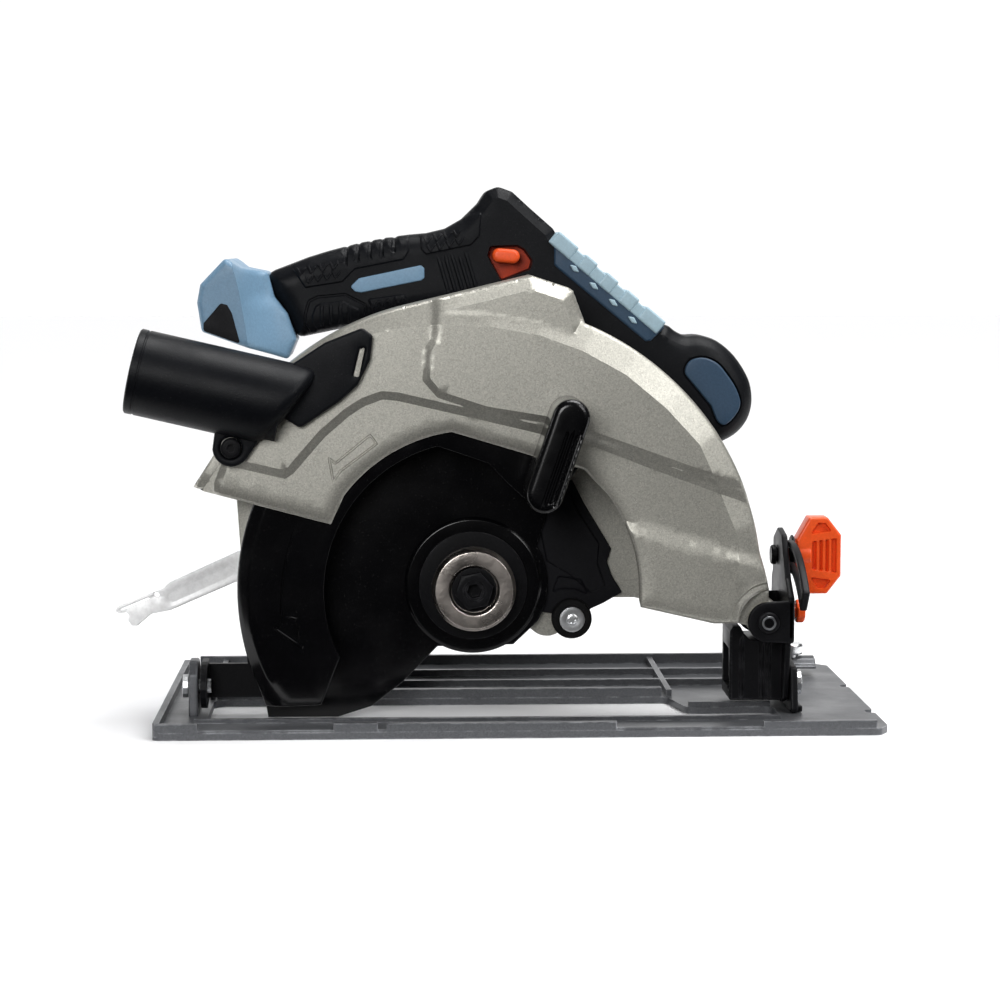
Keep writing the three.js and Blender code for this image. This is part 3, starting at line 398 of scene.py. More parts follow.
def relief(name, outline, front, back, slot, body, plane="XZ", holes=(), rows=(), spacing=5.0, step=1.6,
        replaces=(), patches=(), sharp=32):
    """A closed solid between two surfaces over an outline.

    front and back give the height of each (u, v) point. rows are (line, closed, offsets, step), where the
    mesh gets rows of points so that creases and rounded edges stay crisp. patches are (polygon, spacing).
    """
    loops = [resampled(loop, step, True) for loop in (outline, *holes)]
    points, edges = [], []
    for loop in loops:
        first = len(points)
        points += list(loop)
        edges += [(first + i, first + (i + 1) % len(loop)) for i in range(len(loop))]
    fixed = np.array(points)

    def usable(candidates, margin):
        keep = inside(candidates, loops[0])
        for hole in loops[1:]:
            keep &= ~inside(candidates, hole)
        for loop in loops:
            keep &= distance(candidates, loop, True) > margin
        return candidates[keep]

    if rows:
        extra = np.vstack([offset_rows(line, closed, offsets, row_step) for line, closed, offsets,
            row_step in rows])
        fixed = np.vstack([fixed, usable(extra, 0.015)])
    low, high = loops[0].min(0), loops[0].max(0)
    cells = [(None, spacing), *patches]
    for polygon, size in cells:
        us = np.arange(low[0], high[0], size)
        vs = np.arange(low[1], high[1], size * 0.866)
        grid = np.array([(u + (size / 2 if j % 2 else 0), v) for j, v in enumerate(vs) for u in us])
        if polygon is not None:
            grid = grid[inside(grid, polygon)]
        grid = usable(grid, 0.3 * size)
        tree = kdtree.KDTree(len(fixed))
        for i, p in enumerate(fixed):
            tree.insert((p[0], p[1], 0), i)
        tree.balance()
        grid = [p for p in grid if tree.find((p[0], p[1], 0))[2] > 0.5 * size]
        if grid:
            fixed = np.vstack([fixed, np.array(grid)])
    found = delaunay_2d_cdt([Vector(p) for p in fixed], edges, [], 0, 1e-4)
    flat = np.array([tuple(p) for p in found[0]])
    triangles = np.array([t for t in found[2] if len(t) == 3])
    middle = flat[triangles].mean(1)
    keep = inside(middle, loops[0])
    for hole in loops[1:]:
        keep &= ~inside(middle, hole)
    triangles = triangles[keep]
    used = np.unique(triangles)
    index = np.full(len(flat), -1)
    index[used] = np.arange(len(used))
    flat, triangles = flat[used], index[triangles]
    edge = np.min([distance(flat, loop, True) for loop in loops], axis=0)
    tops, bottoms = front(flat, edge), back(flat, edge)
    to_space = PLANES[plane]
    vertices = [to_space(u, v, w) for (u, v), w in zip(flat, tops)]
    vertices += [to_space(u, v, w) for (u, v), w in zip(flat, bottoms)]
    n = len(flat)
    count = {}
    for t in triangles:
        for a, b in ((t[0], t[1]), (t[1], t[2]), (t[2], t[0])):
            count.setdefault((min(a, b), max(a, b)), []).append((a, b))
    faces = [tuple(t) for t in triangles] + [tuple(t[::-1] + n) for t in triangles]
    faces += [(b, a, a + n, b + n) for uses in count.values() if len(uses) == 1 for a, b in uses]
    return mesh_piece(name, vertices, faces, slot, body, replaces, sharp)


def level(height):
    """A flat surface for relief()."""
    return lambda p, edge: np.full(len(p), height)


def plate(name, outline, low, high, slot, body, radius, holes=(), spacing=9.0, step=1.6, **options):
    """A flat plate with rounded edges on both faces."""
    rows = [(loop, True, fillet_rows(radius), step) for loop in (outline, *holes)]
    return relief(name, outline, lambda p, d: low + fillet(d, radius), lambda p, d: high - fillet(d, radius),
        slot, body, holes=holes, rows=rows, spacing=spacing, step=step, **options)


def ring_faces(rings, segments):
    """Faces between rings of vertex numbers, where a ring of one vertex closes to a point."""
    faces = []
    for one, two in rings:
        for k in range(segments):
            ahead = k + 1
            corners = one[k % len(one)], one[ahead % len(one)], two[ahead % len(two)], two[k % len(two)]
            face = list(dict.fromkeys(corners))
            if len(face) > 2:
                faces.append(face)
    return faces


def lathe(name, profile, slot, body, centre, axis="Y", segments=72, replaces=(), soft=0.0):
    """A turned part. The profile is a closed list of (radius, along); points on the axis close it."""
    if soft:
        profile = soften(profile, soft)
    rings, vertices = [], []
    for r, along in profile:
        ring = []
        for k in range(1 if r < 1e-6 else segments):
            a = 2 * math.pi * k / segments
            u, v = centre[0] + r * math.cos(a), centre[1] + r * math.sin(a)
            ring.append(len(vertices))
            vertices.append({"X": (along, u, v), "Y": (u, along, v), "Z": (u, v, along)}[axis])
        rings.append(ring)
    closes = profile[0][0] > 1e-6
    pairs = list(zip(rings, rings[1:])) + ([(rings[-1], rings[0])] if closes else [])
    return mesh_piece(name, vertices, ring_faces(pairs, segments), slot, body, replaces)


def soften(profile, radius):
    """A lathe profile with its corners off the axis rounded."""
    out = []
    n = len(profile)
    closed = profile[0][0] > 1e-6
    for i, p in enumerate(profile):
        if not closed and i in (0, n - 1):
            out.append(p)
            continue
        corner = np.array(p, float)
        back, ahead = np.array(profile[i - 1]) - corner, np.array(profile[(i + 1) % n]) - corner
        lb, la = np.linalg.norm(back), np.linalg.norm(ahead)
        reach = min(radius, 0.4 * lb, 0.4 * la)
        start, end = corner + back / lb * reach, corner + ahead / la * reach
        out += bend(start, corner, end, (0, 0.33, 0.67, 1))
    return out


def combined(piece, others, operation):
    """Joins helper solids to a piece or cuts them out of it, and deletes them."""
    for other in others:
        change = piece.modifiers.new("combine", "BOOLEAN")
        change.operation, change.object, change.solver = operation, other, "EXACT"
    bpy.context.view_layer.update()
    evaluated = piece.evaluated_get(bpy.context.evaluated_depsgraph_get())
    mesh = bpy.data.meshes.new_from_object(evaluated)
    piece.modifiers.clear()
    piece.data = mesh
    for other in others:
        bpy.data.objects.remove(other)
    mesh.shade_smooth()
    mesh.set_sharp_from_angle(angle=math.radians(32))
    return piece


def carved(piece, cutters):
    """The piece with the cutters cut out of it."""
    return combined(piece, cutters, "DIFFERENCE")


def bevelled(piece, width, segments=2):
    """The same piece with its sharp edges rounded."""
    change = piece.modifiers.new("edges", "BEVEL")
    change.width, change.segments, change.limit_method = width * MM, segments, "ANGLE"
    change.angle_limit = math.radians(30)
    return piece


def mirrored(piece, name, replaces):
    """The same piece on the other side of the saw's middle plane."""
    mesh = piece.data.copy()
    mesh.transform(Matrix.Scale(-1, 4, (0, 1, 0)))
    mesh.flip_normals()
    twin = scene_object(name, mesh)
    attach(twin, piece["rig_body"])
    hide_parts(*replaces)


def regular(centre, r, sides, turn):
    """A regular polygon, given by its corners' radius."""
    return [polar(centre, r, turn + 360 * i / sides) for i in range(sides)]


def cutter(x0, x1, y0, y1, z0, z1, place=None):
    """A plain box that is only joined to another piece or cut out of it."""
    vertices = [(x, y, z) for x in (x0, x1) for y in (y0, y1) for z in (z0, z1)]
    faces = [(0, 1, 3, 2), (4, 6, 7, 5), (0, 4, 5, 1), (2, 3, 7, 6), (0, 2, 6, 4), (1, 5, 7, 3)]
    return mesh_piece("cutter", vertices, faces, "steel", "saw_body", place=place)


# ---------------------------------------------------------------- upper guard

GUARD_FACE, GUARD_FAR = -60.7, -28
GUARD_TOP = [(-134.5, 100), *arc(ARBOR, 121, 142, 105, 20), (4.5, 186.6), (19.6, 181.6), (21.6, 180.2),
    (26.4, 167), *arc(ARBOR, 119.5, 66, 8, 30), (104, 56)]
GUARD_OPENING = [*arc(DEPTH_PIVOT, 12.5, 90, 180, 8), (80, 43), (49.6, 50), *arc(ARBOR, 68, -3, 36, 14),
    (26, 107), (7.8, 112), *arc(ARBOR, 67, 98, 143, 18), (-78, 85), (-134.5, 100)]
DISC = [(-136, 96), (-125, 107), (-113, 125), (-100, 140), (-88, 151), (-72, 160), (-52, 165),
    (-33.1, 166.8), (-12.8, 166), (7.5, 162.4), (25.2, 155.9), (42.9, 146.2), (59.4, 132.5), (73.2, 117.5),
    (80.2, 102.4), (88.6, 81.7), (90.9, 61), (89.7, 30), (60, 20), (-136, 20)]
PAD = [(-40.3, 144), (-34.2, 137), (-14.8, 130.6), (10, 126.5), (25.3, 121.5), (81.5, 101.5), (96, 97.5),
    (130, 97), (130, 210), (-35, 210), (-36.7, 161.6), (-39.2, 157.5)]
MIDDLE = [(-150, 112), (-124.3, 110.3), (-118.6, 109), (-110, 107), (-96.3, 103.8), (-93, 106), (-80, 121),
    (-70, 129.6), (-63.7, 133.6), (-56.5, 136.2), (-50.4, 135.6), (-14.9, 127.4), (9.8, 121.5),
    (25.3, 118.4), (60, 105), (96, 92), (130, 91), (130, 210), (-150, 210)]
LOWER_FRONT_PANEL = [(20, 92.6), (41.3, 86.4), (90.5, 72.4), (130, 61), (130, 20), (20, 20)]
HUMP_EDGE = [(-60, 171.1), (-50.3, 173.4), (4.5, 186.6), (19.6, 181.6), (21.6, 180.2), (26.4, 167),
    (27.6, 155)]
HUMP = [(-60, 150), *HUMP_EDGE[:-1], (27.6, 155), (20, 150)]
ROTATION_ARROW = [(-78.5, 112.3), (-76, 110.1), (-61.7, 121.7), (-59, 118.1), (-74, 106.9), (-76.8, 102.6)]
LEFT_END = [(-124.6, 96), (-119.4, 109.6), (-116, 118)]
RIGHT_OF_LEFT_END = [(-124.6, 96), (-119.4, 109.6), (-110, 130), (-60, 96)]


def guard_level(p):
    """The embossed face: a middle level, a raised pad and a lower front panel, each with its slope."""
    y = np.full(len(p), float(GUARD_FACE))
    for area, height, slope in ((MIDDLE, 1.7, 3.6), (PAD, 1.5, 3.0), (LOWER_FRONT_PANEL, 1.5, 3.4)):
        y -= height * raised(p, area, slope)
    return y


def beyond_disc(p):
    """How far each point is outside the guard's flat disc."""
    return np.where(inside(p, DISC), 0, distance(p, DISC, True))


def guard_front(p, edge):
    """The face with its wide chamfer, hump, left end, ear recess, arrow and rounded edges."""
    y = guard_level(p)
    top, opening = distance(p, GUARD_TOP), distance(p, GUARD_OPENING)
    outside = beyond_disc(p)
    chamfer = outside * 0.48
    hump = np.minimum(outside * 0.6, 2.2) + np.maximum(0, 5.6 - distance(p, HUMP_EDGE)) * 0.8
    y += np.where(inside(p, HUMP), np.minimum(chamfer, hump), chamfer)
    left = np.where((p[:, 0] < -119) & ~inside(p, RIGHT_OF_LEFT_END), distance(p, LEFT_END), 0)
    y += np.clip(left * 0.5, 0, 4)
    pivot = radius_from(p, DEPTH_PIVOT)
    y += 1.2 * (1 - straight(pivot, 15.6, 16.6))
    y += 0.55 * (1 - straight(distance(p, ROTATION_ARROW, True), 0.22, 0.6))
    y += np.maximum(0, 4.6 - opening) * 0.16
    return y + fillet(top, 1.3) + fillet(opening, 1.5)


def guard_back(p, edge):
    """The hollow inside the shell, with a wall that stands to the rear along the top edge."""
    rim = distance(p, GUARD_TOP)
    ceiling = -59.2 + np.clip((beyond_disc(p) - 2) * 0.5, 0, 5)
    return np.where(rim < 3.5, -31.1, np.where(rim < 3.9, -45, ceiling))


guard_rows = [
    (GUARD_TOP, False, fillet_rows(1.3) + [3.4, -3.4, 3.7, -3.7, 4.0, -4.0], 1.8),
    (HUMP_EDGE, False, [0.2, -0.2, 5.6, -5.6], 1.2),
    (GUARD_OPENING, False, fillet_rows(1.5) + [4.6, -4.6], 1.6),
    (DISC[1:-3], False, [-0.3, 0, 0.3, 3.67, -3.67], 1.6),
    (PAD[:7], False, [0, 3.0, -3.0, 1.5, -1.5], 2.0),
    (PAD[-2:] + PAD[:1], False, [0, 3.0, -3.0, 1.5, -1.5], 2.0),
    (MIDDLE[1:-3], False, [-0.2, 0, 0.2, 3.6, -3.6, 1.8, -1.8], 1.8),
    (LOWER_FRONT_PANEL[:3], False, [0, 3.4, -3.4], 2.0),
    (ROTATION_ARROW, True, [0, 0.22, -0.22, 0.6, -0.6], 0.9),
    (arc(DEPTH_PIVOT, 16.1, 60, 200), False, [0.5, -0.5], 1.2),
    (LEFT_END, False, [0], 1.5),
]
relief("upper_guard_shell", GUARD_TOP + GUARD_OPENING[:-1], guard_front, guard_back, "guard_paint",
    "saw_body", rows=guard_rows, spacing=3.2, replaces=("upper_guard",), patches=[(HUMP, 1.5)], sharp=24)

REAR_WALL = GUARD_TOP + [(104, 38), (97.6, 39.3), (49.6, 50), (34, 50), (31, 46), (24, 36.5),
    *arc((12.6, 42), 8.4, -25, -155, 12), *arc(ARBOR, 25.8, 318, 185, 30), (-55, 72), (-88, 82),
    *arc(DEPTH_CLAMP, 10, 350, 180, 16), (-116, 58), (-118.5, 95.8)]
plate("upper_guard_rear_wall", REAR_WALL, -31, GUARD_FAR, "guard_paint", "saw_body", 0.8, spacing=9,
    holes=[hole(ARBOR, 18.4), arc(DEPTH_CLAMP, 3.4, 360, 15, 20),
    arc(DEPTH_PIVOT, 3.4, 360, 15, 20)], step=2.2)
lathe("depth_pivot_boss", ring_profile(3.5, 7.8, -54.8, -30.9), "guard_paint",
    "saw_body", DEPTH_PIVOT, soft=0.6, segments=48)
plate("guard_front_web", [(91, 56), (103.8, 56), (103.8, 50.8), (101, 50.5), (95.8, 46), (95.2, 41),
    (91, 42)], -53.6, -31, "guard_paint", "saw_body", 0.8)


# ---------------------------------------------------------------- dust port

def dust_port():
    """An open tube that ends in a slanted, rounded hood on the guard's face."""
    tilt = math.radians(DUST_TILT)
    along, up = np.array([math.cos(tilt), 0, -math.sin(tilt)]), np.array([math.sin(tilt), 0, math.cos(tilt)])
    across, start = np.array([0, 1, 0]), np.array([-157.5, -63, 148.3])
    # each station is a radius, a place along the tube and how far its top leans forward
    stations = [(DUST_BORE, 62, 0), (DUST_BORE, 1.2, 0), (15.9, 0.15, 0), (17.0, 0, 0),
        (DUST_RADIUS, 0.5, 0), (DUST_RADIUS, 3.0, 0), (17.2, 3.25, 0), (17.2, 3.75, 0),
        (DUST_RADIUS, 4.0, 0)]
    stations += [(DUST_RADIUS, 4 + 6.5 * i, 0.0) for i in range(1, 8)]
    stations += [(DUST_RADIUS, 55, 3.5), (DUST_RADIUS, 60.5, 8.0)]
    stations += [(DUST_RADIUS - 5.5 * (1 - math.cos(a)), 60.5 + 5.5 * math.sin(a), 8.6)
        for a in (math.radians(15 * k) for k in range(1, 7))]
    stations += [(6, 66.4, 8.0), (0, 66.6, 0)]
    segments, vertices, rings = 96, [], []
    for r, s, shear in stations:
        ring = []
        for k in range(segments if r else 1):
            a = 2 * math.pi * k / segments
            lift = math.cos(a) * r / DUST_RADIUS
            p = start + along * (s + shear * lift) + (up * math.cos(a) + across * math.sin(a)) * r
            ring.append(len(vertices))
            vertices.append(p)
        rings.append(ring)
    faces = ring_faces(zip(rings, rings[1:]), segments) + [rings[0][::-1]]
    port = mesh_piece("dust_tube", vertices, faces, "black_plastic", "saw_body", ("dust_port",))
    room = lathe("dust_cut", ring_profile(0, 99.6, -60.5, -10), "steel", "saw_body", ARBOR,
        segments=180)
    carved(port, [room])


dust_port()
ADAPTER = rounded([(-101, 143), (-92.8, 151.1), (-79.6, 159.7), (-64.5, 165.6), (-60.3, 162.5),
    (-61.5, 152.6), (-66.5, 142.5), (-73.7, 136), (-90, 125), (-98, 130)], 2.5)
ADAPTER_SLOT = rounded([(-65.6, 157.2), (-63.6, 157.6), (-66.1, 145.6), (-68.3, 146.1)], 0.8)
plate("dust_adapter", ADAPTER, -67.2, -61.5, "black_plastic", "saw_body", 1.3, holes=[ADAPTER_SLOT],
    spacing=6)
plate("dust_adapter_slot_floor", rounded([(-62.6, 158.6), (-69, 158), (-70, 144.6), (-64.8, 144.4)], 1),
    -65.2, -64.2, "guard_paint", "saw_body", 0.2)
EAR = rounded([(-106.5, 120.5), (-112, 128), (-124.5, 124), *arc(DUST_SCREW, 7.6, 185, 325, 10)], 1.5)
plate("dust_port_ear", EAR, -67.2, -61.5, "black_plastic", "saw_body", 1.2, spacing=5,
    holes=[arc(DUST_SCREW, 4.4, 360, 12, 29)])


def dust_screw():
    """A round screw head with a hexagonal socket."""
    face, back, radius = -68.6, -64.1, 4.1
    profile = [(0, back), (0, face), (radius * 0.8, face), (radius, face + 0.5), (radius, back)]
    head = lathe("dust_screw", profile, "black_steel", "saw_body", DUST_SCREW, segments=64, soft=0.25,
        replaces=("dust_port_screw",))
    socket = relief("cut", regular(DUST_SCREW, radius * 0.45, 6, 10), level(face - 1.0), level(face + 1.8),
        "black_steel", "saw_body", spacing=20)
    bevelled(carved(head, [socket]), 0.12)


dust_screw()


# ---------------------------------------------------------------- blade mounting and bearing cover

def star(centre, r):
    """The outline of a six-lobed screw recess."""
    return [polar(centre, r * (1 + 0.16 * math.cos(math.radians(6 * a))), a) for a in range(0, 360, 6)]


COVER = rounded([(22.5, 101.2), (28, 90.6), (37.4, 74.9), (39.5, 71.4), (37.8, 65.5), (40, 59.5),
    (44.3, 52.6), (36.5, 48.1), (31, 45.6), (27, 41), (20, 39.5), (15, 43.7), (7.2, 44.7), (4.5, 43)], 0.8)
COVER += arc(ARBOR, 25.6, -35, -205, 30) + [(-42, 74), (-19, 100), (6, 99)]
COVER_PANEL = rounded([(21, 96.5), (26.5, 86), (34.6, 73.5), (34, 65), (37.5, 55), (31, 52), (22, 60),
    (12, 66), (9, 80), (11, 94)], 2)
COVER_POCKET = rounded([(14, 52), (17, 60), (27, 58.5), (30.5, 51), (24, 53.8), (18, 53.8)], 1.5)


def cover_front(p, edge):
    """The cover's face, with a raised panel and a pocket."""
    return -33.4 + fillet(edge, 0.5) - 0.6 * raised(p, COVER_PANEL, 0.7) + 0.9 * raised(p, COVER_POCKET, 0.8)


relief("bearing_cover_plate", COVER, cover_front, level(-31.3), "matte_black", "saw_body",
    holes=[hole(ARBOR, 14.3)], spacing=6, step=1.8, replaces=("bearing_cover",),
    rows=[(COVER, True, fillet_rows(0.5), 1.8), (COVER_PANEL, True, [0, 0.7, -0.7], 1.2),
    (COVER_POCKET, True, [0, 0.8, -0.8], 1.2)])
lathe("guard_journal", [(14.3, -31.8), (14.3, -35.6), (7, -35.6), (7, -37.4), (19, -37.4), (19, -31.8)],
    "black_steel", "saw_body", ARBOR, soft=0.4, segments=96)
lathe("retaining_ring", [(12, -37.7), (12, -38.5), (22.8, -38.5), (22.8, -37.7)], "black_steel", "saw_body",
    ARBOR, soft=0.25, segments=96, replaces=("guard_retaining_ring",))
lathe("bumper", [(3.2, -33.7), (3.2, -39.4), (8.5, -39.4), (8.5, -33.7)], "rubber", "saw_body", BUMPER,
    soft=1.5, segments=64, replaces=("bumper_ring",))
lathe("bumper_washer", [(2.4, -39.4), (2.4, -40.9), (5.3, -40.9), (5.3, -39.4)], "zinc", "saw_body", BUMPER,
    soft=0.25, segments=64)


def recoloured(piece, finish_name):
    """The same slot with another material, a copy whose colour paints shade or glare."""
    piece.data.materials[0] = MATERIALS[finish_name]


def recessed_head(name, centre, face, radius, depth, slot, body, replaces, recess, domed=0.5):
    """A domed round head facing -Y with a shaped recess in it."""
    rings = arc(centre, radius, 360, 10, 35)

    def front(p, edge):
        y = face + domed * (1 - straight(edge, 0, radius * 0.7)) ** 2 + fillet(edge, min(0.5, depth * 0.4))
        return y + (depth * 0.7) * raised(p, recess, 0.12)

    return relief(name, rings, front, level(face + depth), slot, body, spacing=1.2, step=0.5,
        rows=[(rings, True, fillet_rows(0.5), 0.5), (recess, True, [0, 0.12, -0.12], 0.4)],
        replaces=replaces)


recessed_head("bumper_torx", BUMPER, -41.5, 2.8, 1.3, "zinc", "saw_body", ("bumper_screw",),
    star(BUMPER, 1.5))

lathe("flange_ring", [(4.6, -46.5), (17.5, -46.5), (17.5, -51.4), (16.7, -52.8), (16.1, -54.5),
    (10.6, -54.5), (9.9, -53.8), (9.9, -50), (4.6, -50)], "nickel", "arbor", ARBOR, soft=0.35, segments=128,
    replaces=("outer_flange",))
lathe("bolt_washer", [(4.2, -50.1), (4.2, -51.7), (9.3, -51.7), (9.3, -50.1)], "black_steel", "arbor", ARBOR,
    soft=0.3, segments=96)
BOLT_HEX, BOLT_SOCKET = regular(ARBOR, 8.1, 6, 12), regular(ARBOR, 3.2, 6, 12)


def bolt_front(p, edge):
    """The bolt's end face: chamfered corners, a shallow ring and a hexagonal socket."""
    r = radius_from(p, ARBOR)
    ring = np.where((r > 3.9) & (r < 4.6), 0.35, 0)
    return -56.5 + np.maximum(0, r - 6.9) * 0.55 + 3.6 * raised(p, BOLT_SOCKET, 0.15) + ring


relief("blade_bolt_head", BOLT_HEX, bolt_front, level(-51.6), "black_steel", "arbor", spacing=1.0, step=0.6,
    replaces=("blade_bolt",),
    rows=[(BOLT_SOCKET, True, [0, 0.15, -0.15], 0.4), (arc(ARBOR, 6.9, 0, 360, 48), False, [0], 0.6),
          (arc(ARBOR, 4.25, 0, 360, 48), False, [-0.45, -0.3, 0.3, 0.45], 0.5)])


# ---------------------------------------------------------------- lower guard

LOWER_NEAR, LOWER_FAR = -57.3, -34.3
LOWER_RIM = arc(ARBOR, 98, 54, 205, 90)
LOWER_FACE = [*LOWER_RIM, (-105.5, 8.5), (-82.5, 9.5), (-77.6, 22), *arc(ARBOR, 62, 206, 104, 60),
    (-13, 109.5), (-6, 102), (1, 95.5), (8, 91.5), (15, 95), (24, 108)]
GUARD_ARROW = [(-93.8, 80), (-96.2, 72), (-98, 62), (-98.6, 52), (-98.4, 43.5), (-102, 42), (-90, 33.5),
    (-92.5, 45.5), (-94.4, 46)]


def lower_front(p, edge):
    """The lower guard's face, which falls away in a cone outside its ridge, with a raised arrow."""
    r = radius_from(p, ARBOR)
    near_rim = distance(p, LOWER_RIM)
    ridge = (np.sqrt((r - 93) ** 2 + 0.5) + r - 93) / 2
    y = LOWER_NEAR + ridge * 0.66 + fillet(near_rim, 0.7) + fillet(edge, 0.6)
    return y - 0.45 * (1 - straight(distance(p, GUARD_ARROW), 0.2, 0.5))


def lower_back(p, edge):
    """A thin face, with a wall that stands to the rear along the rim."""
    rim = distance(p, LOWER_RIM + [(-105.5, 8.5)])
    return np.where(rim < 2.4, LOWER_FAR - 0.9, np.where(rim < 2.7, -45, -55.1))


relief("lower_guard_shell", LOWER_FACE, lower_front, lower_back, "gloss_black", "lower_guard", spacing=5,
    step=1.8, replaces=("lower_guard",), sharp=24,
    rows=[(LOWER_FACE, True, fillet_rows(0.6), 1.8),
          (arc(ARBOR, 93, 54, 203, 90), False, [0, 0.4, -0.4, 0.8, -0.8, 1.3, -1.3], 1.6),
          (LOWER_RIM, False, [2.3, -2.3, 2.5, -2.5, 2.8, -2.8], 1.8),
          (GUARD_ARROW, False, [0, 0.2, -0.2, 0.5, -0.5], 0.8)])
LOWER_WALL = [*LOWER_RIM, (-105.5, 0.6), (-76, 0.6), (-62, 5), (-49, 15), (-34, 30.4), (-2, 31),
    *arc(ARBOR, 31.5, -30, 32, 14), (16, 97)]
plate("lower_guard_wall", LOWER_WALL, LOWER_FAR - 2.2, LOWER_FAR, "gloss_black", "lower_guard", 0.6,
    spacing=10, holes=[arc(ARBOR, 24.6, 360, 8, 44)], step=2)
lathe("lower_guard_hub", [(19.4, -37.4), (27.5, -37.4), (29, -36.4), (29, -35.8), (24.6, -35.8),
    (24.6, -35.9), (19.4, -35.9)], "gloss_black", "lower_guard", ARBOR, soft=0.3, segments=96)
LEVER_FOOT, LEVER_TIP = np.array((8, 100)), np.array((18.5, 130.5))
LEVER = rounded(strap(LEVER_FOOT, LEVER_TIP, 7.6, 16), 0.5)
LEVER_AXIS = (LEVER_TIP - LEVER_FOOT) / math.hypot(*(LEVER_TIP - LEVER_FOOT))
LEVER_SIDE = np.array((LEVER_AXIS[1], -LEVER_AXIS[0]))
LEVER_GROOVES = [[tuple(np.array((8, 97)) + LEVER_AXIS * s + LEVER_SIDE * o) for s in (0, 29)]
    for o in (-0.6, 1.4, 3.4, 5.2)]


def lever_front(p, edge):
    """The paddle's end face: domed, with grip grooves beside its right edge."""
    y = -94 + fillet(edge, 3.0)
    for groove in LEVER_GROOVES:
        y += 0.7 * (1 - straight(distance(p, groove), 0.25, 0.75))
    return y


relief("guard_lever_paddle", LEVER, lever_front, lambda p, d: -66.2 - fillet(d, 1.0), "gloss_black",
    "lower_guard", spacing=3, step=1.0, replaces=("guard_lever",),
    rows=[(LEVER, True, fillet_rows(3.0) + fillet_rows(1.0), 1.0),
          *((groove, False, [0, 0.25, -0.25, 0.75, -0.75], 1.5) for groove in LEVER_GROOVES)])
plate("guard_lever_stem", strap((6.5, 97.5), (8.5, 103), 5), -67, -57.4, "gloss_black", "lower_guard", 0.6,
    spacing=4)


# ---------------------------------------------------------------- handle

TOP_GROOVES = [(x + dx, z + 0.235 * dx - drop) for x, z in zip((-71.6, -66.5, -61.4, -56.4, -51.3),
    (198.5, 199.8, 200.8, 201.8, 202.5)) for dx, drop in ((-1.1, 0), (0, 0.6), (1.1, 0))]
KNOB_FRONT = curve([(62.0, 165.4), (65.6, 164.4), (68.6, 162.2), (73, 160.3), (79.4, 160.3), (86.9, 157.8),
    (94.6, 151.2), (100.4, 142), (102.2, 134), (101.4, 127), (98.3, 121), (92.4, 116.0), (80, 110.6)], 4)
HANDLE = rounded([(-105.4, 187.2), (-97.5, 190.2), (-88.1, 193.8), (-80, 196.3), *TOP_GROOVES, (-45, 203.4),
    (-38, 204), (-30, 205.9), (-22.8, 210), (-16, 216.6), (-12.8, 221.6), (-7.6, 223.6), (-1.5, 221.4),
    (5.6, 214.9), (16.2, 205.6), (17.2, 203.2), *KNOB_FRONT, (52, 104), *arc(MOTOR, 39, 36, 144, 10),
    (-66, 107), (-86, 122), (-97, 136), (-95.6, 150), (-88, 146), (-68, 132), (-46, 127), (-14, 129),
    (-1, 138), (2, 152), (-6, 166), (-28, 171), (-50, 168.5), (-74, 163.5), (-92.8, 159.6), (-95.8, 165.5),
    (-99.4, 172.6), (-103.7, 178)], 4, 3)
PAD_REAR = rounded([(-96.6, 191.5), (-89.3, 180.7), (-73.5, 183.2), (-68.2, 188.6), (-47.6, 192.6),
    (-45.2, 196.3), (-45.6, 206), (-70, 204), (-97, 196)], 1.2)
PAD_TOP = rounded([(-41.4, 207), (-40.2, 196.8), (-38.1, 194.7), (-19.0, 198.7), (-15.3, 202.6),
    (-14.5, 213), (-24, 211)], 1.2)
RING = rounded([(-89.4, 169.4), (-87.8, 175.2), (-84.1, 177.0), (-72.5, 178.1), (-63.6, 173.6),
    (-64.1, 167.4), (-68.3, 163.5), (-86.3, 159.5), (-89.5, 165.2)], 1.5)
RING_INSIDE = rounded([(-86.6, 169.4), (-85.2, 173.1), (-83.1, 174.5), (-73.3, 175.5), (-66.2, 171.8),
    (-66.6, 167.6), (-70, 164.8), (-84.4, 162.4), (-86.6, 166)], 1.2)
PAD_LOW = rounded([(-63.0, 176.3), (-47.1, 178.4), (-45.3, 173.6), (-46, 170.8), (-60.5, 169.4)], 1.0)
WINDOW = rounded([(-11.2, 198.6), (-12.3, 194.4), (-6.3, 183.6), (6.2, 188.6), (7.2, 192.4), (3.6, 197.4),
    (0.6, 199)], 1.8)
KNOB_PANEL = curve([(75.4, 140.3), (72.2, 144.8), (74.2, 149.6), (79.8, 151.1), (86.0, 148.7), (90.6, 143.4),
    (94.2, 137.8), (96.1, 131.6), (94.2, 126.6), (89.8, 122.4), (86.4, 123.8), (83.6, 130.4)], 4)
RIBS = [[(-72.4 + 5.1 * i, 191.8 + 1.1 * i), (-71.6 + 5.07 * i, 205)] for i in range(5)]
SIDE_RIBS = [[(-32.2 + 2.9 * i, 191.4 + 0.5 * i), (-28.6 + 2.9 * i, 179 + 0.6 * i)] for i in range(5)]
RING_RIBS = [[(-82.3 + 3.9 * i, 165.5), (-82.3 + 3.9 * i, 172.6)] for i in range(4)]


def vees(x0, z0, x1, z1):
    """A row of four small V-shaped marks between two points."""
    out = []
    for share in (0.125, 0.375, 0.625, 0.875):
        x, z = x0 + (x1 - x0) * share, z0 + (z1 - z0) * share
        out.append([(x - 1.45, z + 1.2), (x - 0.2, z - 1.2), (x + 1.45, z + 1.2)])
    return out


MARK_ROWS = [(-93.4, 187.2, -74.8, 190.4), (-89.4, 184.0, -74.2, 186.6), (-39.6, 200.6, -23, 204.2),
    (-38.2, 197.2, -22, 200.8), (-61.6, 173.6, -47.6, 175.4)]
MARKS = [mark for row in MARK_ROWS for mark in vees(*row)]


